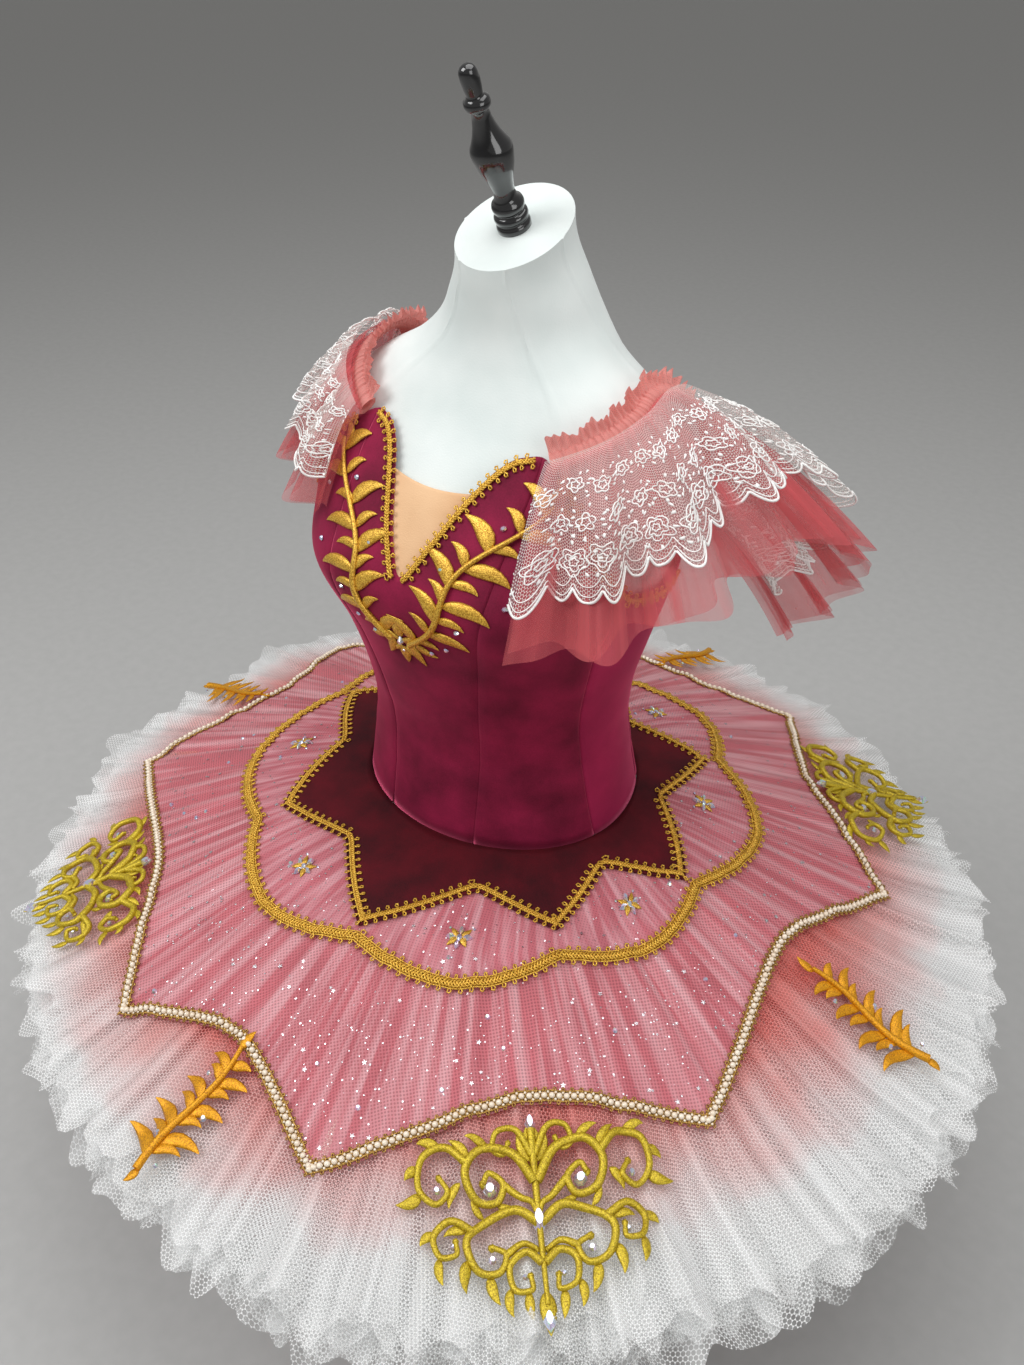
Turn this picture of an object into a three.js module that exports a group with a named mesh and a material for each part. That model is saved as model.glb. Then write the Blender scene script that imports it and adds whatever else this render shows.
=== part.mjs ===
// Ballet tutu on a limbless dress form that stands on a round base.
// Millimetres, +Z up. The front faces -Y and the wearer's left is +X.
// The origin is on the floor, at the centre of the base's underside.
import * as THREE from 'three';

// Heights above the floor.
const WAIST = 515;
const BASE_HEIGHT = 14;
const FORM_BOTTOM = 295;
const SKIRT_TOP_INNER = 420;
const SKIRT_TOP_HINGE = 407;
const SKIRT_TOP_DROP = 336;

// Radii of the rings where the skirt changes its slope.
const HINGE_RADIUS = 220;
const DROP_RADIUS = 410;

// Cloth and clearances.
const CLOTH = 1.6;
const NET = 1.2;
const SEAM_GAP = 0.3;
const FORM_CLEARANCE = 4;
const TRIM = 1.8;
const TRIM_LIFT = CLOTH + 4 * SEAM_GAP;
const RING_LIFT = CLOTH + 4 * SEAM_GAP;
const BRAID_INSET = 0.5;
const ARM_PLATE = 161;

// The dress form and its stand.
const BASE_RADIUS = 140;
const POLE_RADIUS = 12;
const CAP_LEAN = THREE.MathUtils.degToRad(27);
const LEAN_START = 325;
const LEAN_SPAN = 100;
const FORM_TOP = 412;
const FORM_HEIGHTS = [-220, -155, -97, -50, 0, 45, 85, 115, 140, 162, 185, 207, 228, 248, 266,
  282, 297, 311, 325, 345, 375, FORM_TOP];
const FORM_COLUMNS = 32;
const YOKE_BOTTOM = -158;

// The bust: two rounded rises over the plain body section.
const BUST = { turn: 36, up: 160, rise: 11, spread: 24, height: 46 };

// Body sections, measured up from the waist.
const BODY = [
  { up: -220, half: 150, front: 112, back: 128, centre: 12 },
  { up: -155, half: 146, front: 114, back: 136, centre: 12 },
  { up: -97, half: 131, front: 108, back: 130, centre: 12 },
  { up: -35, half: 124, front: 101, back: 110, centre: 14 },
  { up: 0, half: 122, front: 99, back: 103, centre: 14 },
  { up: 45, half: 127, front: 105, back: 105, centre: 12 },
  { up: 95, half: 141, front: 116, back: 111, centre: 11 },
  { up: 155, half: 159, front: 129, back: 118, centre: 11 },
  { up: 195, half: 167, front: 117, back: 124, centre: 14 },
  { up: 225, half: 174, front: 103, back: 121, centre: 19 },
  { up: 255, half: 173, front: 86, back: 109, centre: 26 },
  { up: 280, half: 160, front: 71, back: 94, centre: 32 },
  { up: 303, half: 130, front: 62, back: 79, centre: 38 },
  { up: 322, half: 97, front: 57, back: 73, centre: 42 },
  { up: 345, half: 74, front: 54, back: 68, centre: 43 },
  { up: 370, half: 61, front: 51, back: 60, centre: 40 },
  { up: 395, half: 51, front: 50, back: 52, centre: 37 },
  { up: 420, half: 49, front: 49, back: 50, centre: 35 },
];

// The bodice's upper edge: a deep V between two shoulder points, scooped under each arm.
const TOP_EDGE = [
  { turn: 0, up: 172 },
  { turn: 6, up: 204 },
  { turn: 11, up: 235 },
  { turn: 16, up: 257 },
  { turn: 21, up: 268 },
  { turn: 29, up: 273 },
  { turn: 40, up: 256 },
  { turn: 56, up: 209 },
  { turn: 72, up: 176 },
  { turn: 90, up: 167 },
  { turn: 115, up: 180 },
  { turn: 140, up: 212 },
  { turn: 150, up: 217 },
  { turn: 165, up: 204 },
  { turn: 180, up: 198 },
];

// Seam lines of the bodice, as turns from the centre front at each height.
const PRINCESS_SEAM = [
  { up: -97, turn: 21 },
  { up: 0, turn: 23 },
  { up: 115, turn: 26 },
  { up: 274, turn: 29 },
];
const SIDE_SEAM = [
  { up: -97, turn: 76 },
  { up: -40, turn: 71 },
  { up: 25, turn: 67 },
  { up: 115, turn: 65 },
  { up: 176, turn: 70 },
];
const BACK_SEAM = [
  { up: -97, turn: 120 },
  { up: 0, turn: 116 },
  { up: 190, turn: 118 },
];
const CENTRE_BACK = [{ up: -97, turn: 180 }];

// Outlines of the skirt's overlays: points at the tips, and the hollows between them.
const STAR = {
  steps: 3,
  tipPower: 1.25,
  rows: [
    { turn: 6, tip: 219, hollowTurn: 29, hollow: 157 },
    { turn: 52, tip: 205, hollowTurn: 71, hollow: 163 },
    { turn: 89, tip: 219, hollowTurn: 113, hollow: 168 },
    { turn: 136, tip: 219, hollowTurn: 158, hollow: 168 },
    { turn: 180, tip: 216, hollowTurn: 202, hollow: 166 },
    { turn: 223, tip: 214, hollowTurn: 242, hollow: 166 },
    { turn: 262, tip: 219, hollowTurn: 290, hollow: 166 },
    { turn: 318, tip: 203, hollowTurn: 342, hollow: 160 },
  ],
};
const PETALS = {
  steps: 3,
  tipPower: 1.5,
  rows: [
    { turn: 7, tip: 232, hollowTurn: 30, hollow: 250 },
    { turn: 52, tip: 231, hollowTurn: 71, hollow: 250 },
    { turn: 90, tip: 232, hollowTurn: 114, hollow: 262 },
    { turn: 137, tip: 234, hollowTurn: 156, hollow: 259 },
    { turn: 180, tip: 232, hollowTurn: 202, hollow: 255 },
    { turn: 223, tip: 232, hollowTurn: 244, hollow: 254 },
    { turn: 262, tip: 232, hollowTurn: 294, hollow: 252 },
    { turn: 319, tip: 231, hollowTurn: 344, hollow: 254 },
  ],
};
const OVERLAY = {
  steps: 4,
  tipPower: 1.7,
  rows: [
    { turn: 17, tip: 405, hollowTurn: 42, hollow: 335 },
    { turn: 64, tip: 384, hollowTurn: 92, hollow: 314 },
    { turn: 113, tip: 388, hollowTurn: 136, hollow: 336 },
    { turn: 156, tip: 388, hollowTurn: 176, hollow: 330 },
    { turn: 201, tip: 390, hollowTurn: 224, hollow: 336 },
    { turn: 247, tip: 392, hollowTurn: 265, hollow: 333 },
    { turn: 290, tip: 397, hollowTurn: 318, hollow: 329 },
    { turn: 342, tip: 391, hollowTurn: 358, hollow: 341 },
  ],
};

// How far each skirt layer's top lies below the velvet's top, at the three rings.
const SKIRT_LAYERS = {
  star: { inner: 0, hinge: 0, drop: 0 },
  petals: { inner: 1.6, hinge: 1.6, drop: 1.6 },
  overlay: { inner: 3.2, hinge: 3.2, drop: 3.2 },
};

// The gathered nets under the overlays. Edge heights are above the floor.
const NETS = [
  { name: 'net_1', inner: 4.8, hinge: 4.8, drop: 4.8, reach: 1, edge: 318, flute: 3, waves: 24 },
  { name: 'net_2', inner: 7.6, hinge: 9, drop: 12, reach: 1.014, edge: 307, flute: 4, waves: 19 },
  { name: 'net_3', inner: 10.4, hinge: 13.4, drop: 20, reach: 1.004, edge: 295, flute: 4, waves: 22 },
  { name: 'net_4', inner: 13.2, hinge: 18, drop: 29, reach: 1.018, edge: 283, flute: 4, waves: 17 },
  { name: 'net_5', inner: 16, hinge: 23, drop: 39, reach: 0.99, edge: 270, flute: 4, waves: 20 },
];

// Reach of the nets' outer edge round the skirt.
const NET_REACH = [
  { turn: 0, reach: 462 },
  { turn: 20, reach: 490 },
  { turn: 45, reach: 500 },
  { turn: 80, reach: 500 },
  { turn: 110, reach: 484 },
  { turn: 140, reach: 460 },
  { turn: 180, reach: 450 },
  { turn: 225, reach: 456 },
  { turn: 265, reach: 460 },
  { turn: 315, reach: 452 },
  { turn: 360, reach: 462 },
];

// Appliqués on the nets: half widths across, at distances in from the motif's centre.
const MEDALLION = {
  places: [
    { turn: 42, reach: 413, size: 1 },
    { turn: 135, reach: 396, size: 0.86 },
    { turn: 226, reach: 395, size: 0.8 },
    { turn: 318, reach: 389, size: 0.84 },
  ],
  outline: [
    { across: 0, inward: 68 },
    { across: 16, inward: 60 },
    { across: 34, inward: 40 },
    { across: 62, inward: 36 },
    { across: 84, inward: 16 },
    { across: 80, inward: -10 },
    { across: 58, inward: -30 },
    { across: 36, inward: -38 },
    { across: 16, inward: -50 },
    { across: 0, inward: -72 },
  ],
};
const BRANCH = {
  places: [
    { turn: 1, reach: 401, size: 1 },
    { turn: 91, reach: 398, size: 1 },
    { turn: 180, reach: 388, size: 0.96 },
    { turn: 268, reach: 392, size: 0.96 },
  ],
  outline: [
    { across: 0, inward: 56 },
    { across: 10, inward: 42 },
    { across: 20, inward: 22 },
    { across: 14, inward: 4 },
    { across: 26, inward: -16 },
    { across: 18, inward: -38 },
    { across: 0, inward: -56 },
  ],
};
const MOTIF = {
  places: [29, 72, 117, 160, 203, 243, 290, 342].map((turn) => ({ turn, reach: 196, size: 1 })),
  outline: [
    { across: 0, inward: 13 },
    { across: 9, inward: 8 },
    { across: 14, inward: -4 },
    { across: 5, inward: -8 },
    { across: 0, inward: -14 },
  ],
};

// Leaf scrolls on the bust and the drop below the V: a spine with half widths.
const BUST_SPRAY = [
  { turn: 6, up: 128, half: 4 },
  { turn: 12, up: 154, half: 10 },
  { turn: 19, up: 186, half: 9 },
  { turn: 25, up: 214, half: 11 },
  { turn: 29, up: 236, half: 4 },
];
const CENTRE_DROP = [
  { turn: 0, up: 144, half: 4 },
  { turn: 0, up: 120, half: 6 },
  { turn: 0, up: 96, half: 2 },
];

// Off-the-shoulder sleeve of the wearer's left: the heading's path over the shoulder,
// and how far the net's and the lace's hems lie from it.
const SLEEVE = [
  { turn: 32, up: 268, net: [26, -88, -118], lace: [20, -72, -88] },
  { turn: 50, up: 284, net: [66, -70, -116], lace: [50, -52, -84] },
  { turn: 68, up: 296, net: [96, -34, -108], lace: [72, -26, -72] },
  { turn: 88, up: 304, net: [116, 14, -104], lace: [84, 12, -62] },
  { turn: 108, up: 297, net: [120, 56, -112], lace: [90, 40, -62] },
  { turn: 122, up: 268, net: [112, 78, -126], lace: [88, 58, -72] },
  { turn: 124, up: 228, net: [90, 72, -128], lace: [70, 54, -80] },
  { turn: 119, up: 192, net: [56, 54, -120], lace: [44, 42, -80] },
];

// How far each sleeve spreads and drops: the right one lies closer to the arm plate.
const LEFT_HANG = { spread: 1, drop: 1 };
const RIGHT_HANG = { spread: 0.42, drop: 0.66 };

// The sleeve's heading band, and where the flounces start above the body.
const HEADING = { sides: [-7, 7], lift: 4.2, thickness: 4 };
const FLOUNCE = { lift: 11, outward: 4, arch: 9, fold: 5, laceLift: 6, wall: 1.4 };

// Appliqués' heights over their layer.
const APPLIQUE_LIFT = 1;
const FLOWER_LIFT = 0.5;

// Black turned finial, up its own axis from the cap.
const FINIAL = [
  { up: 0, radius: 13.5 },
  { up: 4, radius: 13.5 },
  { up: 6, radius: 11 },
  { up: 8, radius: 13 },
  { up: 12, radius: 13 },
  { up: 14, radius: 10.5 },
  { up: 17, radius: 12.5 },
  { up: 22, radius: 12 },
  { up: 26, radius: 8.5 },
  { up: 34, radius: 8.5 },
  { up: 46, radius: 12 },
  { up: 60, radius: 15.5 },
  { up: 66, radius: 15.8 },
  { up: 72, radius: 13 },
  { up: 84, radius: 8.5 },
  { up: 95, radius: 6.5 },
  { up: 98, radius: 9.5 },
  { up: 103, radius: 9.5 },
  { up: 106, radius: 6 },
  { up: 112, radius: 6.8 },
  { up: 123, radius: 6.8 },
  { up: 127, radius: 4.5 },
  { up: 128, radius: 0 },
];

const group = new THREE.Group();

const MATERIALS = {
  velvet: { color: 0x7a1038, roughness: 0.85, metalness: 0 },
  darkVelvet: { color: 0x2a0509, roughness: 0.9, metalness: 0 },
  pinkNet: { color: 0xdf8f98, roughness: 0.7, metalness: 0 },
  sleeveNet: { color: 0xe0707a, roughness: 0.7, metalness: 0 },
  whiteNet: { color: 0xe9edee, roughness: 0.8, metalness: 0 },
  lace: { color: 0xf6f4f0, roughness: 0.8, metalness: 0 },
  nude: { color: 0xe3b98e, roughness: 0.8, metalness: 0 },
  gold: { color: 0xc79a1e, roughness: 0.45, metalness: 0.7 },
  pearl: { color: 0xe4d3bd, roughness: 0.5, metalness: 0.2 },
  cover: { color: 0xdfe6e4, roughness: 0.85, metalness: 0 },
  black: { color: 0x101012, roughness: 0.3, metalness: 0 },
};

const radians = THREE.MathUtils.degToRad;

/** Adds one named piece. */
function addPiece(name, geometry, material, parent = group) {
  const mesh = new THREE.Mesh(geometry, new THREE.MeshStandardMaterial(MATERIALS[material]));
  mesh.name = name;
  parent.add(mesh);
  return mesh;
}

/** Straight-line value of a table's column. */
function between(rows, key, column, at) {
  const last = rows.length - 1;
  if (at <= rows[0][key]) return rows[0][column];
  if (at >= rows[last][key]) return rows[last][column];
  const next = rows.findIndex((row) => row[key] > at);
  const from = rows[next - 1];
  const share = (at - from[key]) / (rows[next][key] - from[key]);
  return THREE.MathUtils.lerp(from[column], rows[next][column], share);
}

/** Smooth value of a body column at a height above the waist. */
function bodyColumn(column, up) {
  const last = BODY.length - 1;
  const height = THREE.MathUtils.clamp(up, BODY[0].up, BODY[last].up);
  const next = Math.max(1, BODY.findIndex((row) => row.up >= height));
  const slope = (index) => {
    const low = BODY[Math.max(index - 1, 0)];
    const high = BODY[Math.min(index + 1, last)];
    return (high[column] - low[column]) / (high.up - low.up);
  };
  const from = BODY[next - 1];
  const to = BODY[next];
  const span = to.up - from.up;
  const f = (height - from.up) / span;
  return (2 * f ** 3 - 3 * f ** 2 + 1) * from[column]
    + (f ** 3 - 2 * f ** 2 + f) * span * slope(next - 1)
    + (3 * f ** 2 - 2 * f ** 3) * to[column]
    + (f ** 3 - f ** 2) * span * slope(next);
}

/** A point of the bare body surface. Turns are degrees from the front towards +X. */
function bareBody(turn, up) {
  const angle = radians(turn);
  const depth = Math.cos(angle) > 0 ? bodyColumn('front', up) : bodyColumn('back', up);
  const flat = new THREE.Vector2(bodyColumn('half', up) * Math.sin(angle), -depth * Math.cos(angle));
  const wrapped = THREE.MathUtils.euclideanModulo(turn + 180, 360) - 180;
  let rise = 0;
  for (const side of [-1, 1]) {
    const aside = (wrapped - side * BUST.turn) / BUST.spread;
    const above = (up - BUST.up) / BUST.height;
    rise += BUST.rise * Math.exp(-(aside ** 2) - above ** 2);
  }
  flat.setLength(flat.length() + rise);
  const lean = THREE.MathUtils.clamp((up - LEAN_START) / LEAN_SPAN, 0, 1) * Math.tan(CAP_LEAN);
  const x = THREE.MathUtils.clamp(flat.x, -ARM_PLATE, ARM_PLATE);
  return new THREE.Vector3(x, flat.y + bodyColumn('centre', up), WAIST + up + lean * flat.y);
}

/** A point lifted off the body along its normal. */
function bodyPoint(turn, up, lift) {
  const across = bareBody(turn + 0.5, up).sub(bareBody(turn - 0.5, up));
  const along = bareBody(turn, up + 1).sub(bareBody(turn, up - 1));
  return bareBody(turn, up).addScaledVector(across.cross(along).normalize(), lift);
}

/** Turns every face of an indexed geometry outwards. */
function faceOutwards(positions, faces) {
  let volume = 0;
  const corner = (index) => new THREE.Vector3().fromArray(positions, index * 3);
  for (let i = 0; i < faces.length; i += 3) {
    volume += corner(faces[i]).dot(corner(faces[i + 1]).cross(corner(faces[i + 2])));
  }
  if (volume < 0) faces.reverse();
  const geometry = new THREE.BufferGeometry();
  geometry.setAttribute('position', new THREE.Float32BufferAttribute(positions, 3));
  geometry.setIndex(faces);
  return geometry;
}

/** A closed wall between two grids of points, open or running round in a ring. */
function wall(outer, inner, ring) {
  const rows = outer.length;
  const columns = outer[0].length;
  const positions = [];
  for (const point of [...outer.flat(), ...inner.flat()]) positions.push(point.x, point.y, point.z);
  const at = (sheet, row, column) => (sheet * rows + row) * columns + (column % columns);
  const faces = [];
  const quad = (a, b, c, d) => faces.push(a, b, c, a, c, d);
  const spans = ring ? columns : columns - 1;
  for (let j = 0; j < spans; j += 1) {
    for (let i = 0; i < rows - 1; i += 1) {
      quad(at(0, i, j), at(0, i, j + 1), at(0, i + 1, j + 1), at(0, i + 1, j));
      quad(at(1, i, j), at(1, i + 1, j), at(1, i + 1, j + 1), at(1, i, j + 1));
    }
    quad(at(0, 0, j), at(1, 0, j), at(1, 0, j + 1), at(0, 0, j + 1));
    quad(at(0, rows - 1, j), at(0, rows - 1, j + 1), at(1, rows - 1, j + 1), at(1, rows - 1, j));
  }
  for (let i = 0; i < rows - 1 && !ring; i += 1) {
    quad(at(0, i, 0), at(0, i + 1, 0), at(1, i + 1, 0), at(1, i, 0));
    quad(at(0, i, spans), at(1, i, spans), at(1, i + 1, spans), at(0, i + 1, spans));
  }
  return faceOutwards(positions, faces);
}

/** A wall from one function of row, column and face. */
function wallFrom(rows, columns, place, ring = false) {
  const sheet = (face) => Array.from({ length: rows }, (_, row) => (
    Array.from({ length: columns }, (__, column) => place(row, column, face))
  ));
  return wall(sheet(0), sheet(1), ring);
}

/** A closed pad: two faces fanned from a centre through rings of points. */
function pad(rings, place) {
  const columns = rings[0].length;
  const positions = [];
  const faces = [];
  const faceSize = 1 + rings.length * columns;
  for (const face of [0, 1]) {
    for (const spot of [{ across: 0, inward: 0 }, ...rings.flat()]) {
      positions.push(...place(spot, face).toArray());
    }
  }
  const at = (face, ring, column) => face * faceSize + 1 + ring * columns + (column % columns);
  const add = (face, a, b, c) => faces.push(...(face ? [a, c, b] : [a, b, c]));
  const last = rings.length - 1;
  for (let j = 0; j < columns; j += 1) {
    for (const face of [0, 1]) {
      add(face, face * faceSize, at(face, 0, j), at(face, 0, j + 1));
      for (let i = 0; i < last; i += 1) {
        add(face, at(face, i, j), at(face, i + 1, j), at(face, i + 1, j + 1));
        add(face, at(face, i, j), at(face, i + 1, j + 1), at(face, i, j + 1));
      }
    }
    faces.push(at(0, last, j), at(1, last, j), at(1, last, j + 1));
    faces.push(at(0, last, j), at(1, last, j + 1), at(0, last, j + 1));
  }
  return faceOutwards(positions, faces);
}

// ---------------------------------------------------------------- dress form

function buildForm() {
  const heights = FORM_HEIGHTS;
  const columns = FORM_COLUMNS;
  const rings = heights.map((up) => Array.from({ length: columns }, (_, column) => (
    bodyPoint((column * 360) / columns, up, -FORM_CLEARANCE)
  )));
  const positions = rings.flat().flatMap((point) => point.toArray());
  const bottomCentre = rings.length * columns;
  const topCentre = bottomCentre + 1;
  const top = rings[rings.length - 1];
  const capMiddle = top[0].clone().add(top[columns / 2]).multiplyScalar(0.5);
  positions.push(0, bodyColumn('centre', BODY[0].up), rings[0][0].z);
  positions.push(...capMiddle.toArray());
  const faces = [];
  const at = (row, column) => row * columns + (column % columns);
  for (let j = 0; j < columns; j += 1) {
    faces.push(bottomCentre, at(0, j + 1), at(0, j));
    faces.push(topCentre, at(rings.length - 1, j), at(rings.length - 1, j + 1));
    for (let i = 0; i < rings.length - 1; i += 1) {
      faces.push(at(i, j), at(i, j + 1), at(i + 1, j + 1));
      faces.push(at(i, j), at(i + 1, j + 1), at(i + 1, j));
    }
  }
  addPiece('form_torso', faceOutwards(positions, faces), 'cover');
  const capFall = top[columns / 2].clone().sub(top[0]);
  return { middle: capMiddle, lean: Math.atan2(capFall.z, capFall.y) };
}

function buildStand(cap) {
  const baseRim = 3;
  const base = [
    new THREE.Vector2(0, 0),
    new THREE.Vector2(BASE_RADIUS, 0),
    new THREE.Vector2(BASE_RADIUS, BASE_HEIGHT - baseRim),
    new THREE.Vector2(BASE_RADIUS - baseRim, BASE_HEIGHT),
    new THREE.Vector2(0, BASE_HEIGHT),
  ];
  addPiece('stand_base', new THREE.LatheGeometry(base, 32).rotateX(Math.PI / 2), 'black');
  const poleLength = FORM_BOTTOM - BASE_HEIGHT - 2 * SEAM_GAP;
  const pole = new THREE.CylinderGeometry(POLE_RADIUS, POLE_RADIUS, poleLength, 20);
  pole.rotateX(Math.PI / 2);
  addPiece('stand_pole', pole, 'black').position.z = BASE_HEIGHT + SEAM_GAP + poleLength / 2;
  const profile = FINIAL.map((row) => new THREE.Vector2(row.radius, row.up));
  const finial = new THREE.LatheGeometry([new THREE.Vector2(0, 0), ...profile], 16);
  const holder = new THREE.Group();
  holder.position.copy(cap.middle);
  holder.rotation.x = cap.lean;
  group.add(holder);
  addPiece('form_finial', finial.rotateX(Math.PI / 2), 'black', holder).position.z = SEAM_GAP;
}

// -------------------------------------------------------------------- bodice

const BODICE_BOTTOM = SKIRT_TOP_INNER + SEAM_GAP - WAIST;

/** Height of the bodice's upper edge at any turn. */
function topEdge(turn) {
  const wrapped = THREE.MathUtils.euclideanModulo(turn + 180, 360) - 180;
  return between(TOP_EDGE, 'turn', 'up', Math.abs(wrapped));
}

/** One bodice panel between two seams; side is 1 for the wearer's left, -1 for the right. */
function panel(name, seams, columns, side = 1) {
  const rows = 13;
  const crowding = 0.7;
  const shift = THREE.MathUtils.radToDeg(SEAM_GAP / 2 / bodyColumn('half', 0));
  const place = (row, column, face) => {
    const share = column / (columns - 1);
    const turnAt = (up) => {
      const from = seams[0].side * between(seams[0].rows, 'up', 'turn', up) + shift;
      const to = seams[1].side * between(seams[1].rows, 'up', 'turn', up) - shift;
      return THREE.MathUtils.lerp(from, to, share);
    };
    const top = topEdge(turnAt(topEdge(turnAt(BUST.up))));
    const up = THREE.MathUtils.lerp(BODICE_BOTTOM, top, (row / (rows - 1)) ** crowding);
    return bodyPoint(side * turnAt(up), up, face ? 0 : CLOTH);
  };
  addPiece(name, wallFrom(rows, columns, place), 'velvet');
}

function buildBodice() {
  const seam = (rows, side = 1) => ({ rows, side });
  panel('bodice_front_centre', [seam(PRINCESS_SEAM, -1), seam(PRINCESS_SEAM)], 17);
  for (const [letter, side] of [['left', 1], ['right', -1]]) {
    panel(`bodice_front_side_${letter}`, [seam(PRINCESS_SEAM), seam(SIDE_SEAM)], 6, side);
    panel(`bodice_side_${letter}`, [seam(SIDE_SEAM), seam(BACK_SEAM)], 5, side);
    panel(`bodice_back_${letter}`, [seam(BACK_SEAM), seam(CENTRE_BACK)], 6, side);
  }
}

/** The nude insert that fills the V. */
function buildInsert() {
  const rows = 5;
  const columns = 5;
  const bottom = TOP_EDGE[0].up + 3;
  const top = 240;
  const place = (row, column, face) => {
    const up = THREE.MathUtils.lerp(bottom, top, row / (rows - 1));
    const edge = TOP_EDGE.findIndex((entry) => entry.up > up);
    const half = between(TOP_EDGE.slice(edge - 1, edge + 1), 'up', 'turn', up) - SEAM_GAP;
    const turn = THREE.MathUtils.lerp(-half, half, column / (columns - 1));
    return bodyPoint(turn, up, face ? 0 : NET);
  };
  addPiece('v_insert', wallFrom(rows, columns, place), 'nude');
}

/** A band along a path on the body, between two distances to the path's side. */
function bodyBand(name, path, sides, lift, thickness, material) {
  const place = (row, column, face) => {
    const before = path[Math.max(column - 1, 0)];
    const after = path[Math.min(column + 1, path.length - 1)];
    const here = path[column];
    const radius = Math.hypot(bareBody(here.turn, here.up).x, bareBody(here.turn, here.up).y);
    const arc = radians(after.turn - before.turn) * radius;
    const normal = new THREE.Vector2(-(after.up - before.up), arc).normalize();
    const reach = (here.half ?? 1) * sides[row];
    const turn = here.turn + THREE.MathUtils.radToDeg((normal.x * reach) / radius);
    return bodyPoint(turn, here.up + normal.y * reach, lift + (face ? 0 : thickness));
  };
  addPiece(name, wallFrom(sides.length, path.length, place), material);
}

/** A path with every stretch cut into equal steps. */
function refined(path, steps) {
  const spots = path.slice(0, -1).flatMap((from, index) => Array.from({ length: steps }, (_, step) => {
    const to = path[index + 1];
    const mix = (key) => THREE.MathUtils.lerp(from[key], to[key], step / steps);
    return { turn: mix('turn'), up: mix('up'), half: mix('half') };
  }));
  return [...spots, path[path.length - 1]];
}

/** Points along the bodice's upper edge between two turns. */
function edgePath(from, to, steps, below) {
  return Array.from({ length: steps + 1 }, (_, step) => {
    const turn = THREE.MathUtils.lerp(from, to, step / steps);
    return { turn, up: topEdge(turn) - below };
  });
}

function buildBodiceTrims() {
  const on = TRIM_LIFT;
  const braid = [-8, -4, 0];
  const spread = [-1, 0, 1];
  for (const [letter, side] of [['left', 1], ['right', -1]]) {
    const mirror = (path) => path.map((row) => ({ ...row, turn: row.turn * side }));
    const edges = braid.map((reach) => reach * side);
    bodyBand(`neck_braid_${letter}`, mirror(edgePath(0.9, 27, 9, 0)), edges, on, TRIM, 'gold');
    bodyBand(`side_braid_${letter}`, mirror(edgePath(38, 100, 9, 0)), edges, on, TRIM, 'gold');
    bodyBand(`bust_spray_${letter}`, mirror(refined(BUST_SPRAY, 2)), spread, on, TRIM, 'gold');
  }
  bodyBand('back_braid', edgePath(153, 207, 8, 0), braid, on, TRIM, 'gold');
  bodyBand('centre_drop', refined(CENTRE_DROP, 2), [-1, 0, 1], on, TRIM, 'gold');
}

// --------------------------------------------------------------------- skirt

/** The ring where a skirt layer meets the hip yoke. */
function innerRing(turn, height) {
  return bodyPoint(turn, height - WAIST, RING_LIFT).setZ(height);
}

/** Reach of the first net's edge at any turn. */
function netReach(turn) {
  return between(NET_REACH, 'turn', 'reach', THREE.MathUtils.euclideanModulo(turn, 360));
}

/** Height of a skirt layer's top from the hinge ring outwards. */
function outerHeight(turn, reach, layer) {
  const hinge = SKIRT_TOP_HINGE - layer.hinge;
  const drop = SKIRT_TOP_DROP - layer.drop;
  if (reach <= DROP_RADIUS) {
    const share = (reach - HINGE_RADIUS) / (DROP_RADIUS - HINGE_RADIUS);
    return THREE.MathUtils.lerp(hinge, drop, share);
  }
  const edgeShare = (reach - DROP_RADIUS) / (netReach(turn) * layer.reach - DROP_RADIUS);
  return THREE.MathUtils.lerp(drop, layer.edge, edgeShare);
}

/** A point of a skirt layer, between the yoke and its edge. */
function skirtPoint(turn, reach, layer, lift = 0) {
  const outward = new THREE.Vector3(Math.sin(radians(turn)), -Math.cos(radians(turn)), 0);
  if (reach >= HINGE_RADIUS) {
    return outward.multiplyScalar(reach).setZ(outerHeight(turn, reach, layer) + lift);
  }
  const height = SKIRT_TOP_INNER - layer.inner;
  const ring = innerRing(turn, height);
  const innerReach = Math.hypot(ring.x, ring.y);
  const share = Math.max(0, (reach - innerReach) / (HINGE_RADIUS - innerReach));
  const point = ring.lerp(outward.multiplyScalar(HINGE_RADIUS), share);
  return point.setZ(THREE.MathUtils.lerp(height, SKIRT_TOP_HINGE - layer.hinge, share) + lift);
}

/** Turns and reaches round an outline, with the same number of steps to each tip and hollow. */
function outlineSpots(outline, steps) {
  const spots = [];
  const count = outline.rows.length;
  for (let i = 0; i < count; i += 1) {
    const row = outline.rows[i];
    const next = outline.rows[(i + 1) % count];
    const nextTurn = next.turn + (i === count - 1 ? 360 : 0);
    for (let step = 0; step < 2 * steps; step += 1) {
      const falling = step < steps;
      const share = (step % steps) / steps;
      const [a, b] = falling ? [row.turn, row.hollowTurn] : [row.hollowTurn, nextTurn];
      const tip = falling ? row.tip : next.tip;
      const toTip = falling ? 1 - share : share;
      const reach = row.hollow + (tip - row.hollow) * toTip ** outline.tipPower;
      spots.push({ turn: THREE.MathUtils.lerp(a, b, share), reach });
    }
  }
  return spots;
}

/** A star-edged skirt layer from the yoke to its outline. */
function overlay(name, outline, layer, material) {
  const spots = outlineSpots(outline, outline.steps);
  const crossesHinge = spots.every((spot) => spot.reach > HINGE_RADIUS);
  const rows = crossesHinge ? 3 : 2;
  const place = (row, column, face) => {
    const spot = spots[column];
    const reach = row === rows - 1 ? spot.reach : row * HINGE_RADIUS;
    return skirtPoint(spot.turn, reach, layer, face ? -NET : 0);
  };
  addPiece(name, wallFrom(rows, spots.length, place, true), material);
  return spots;
}

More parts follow.
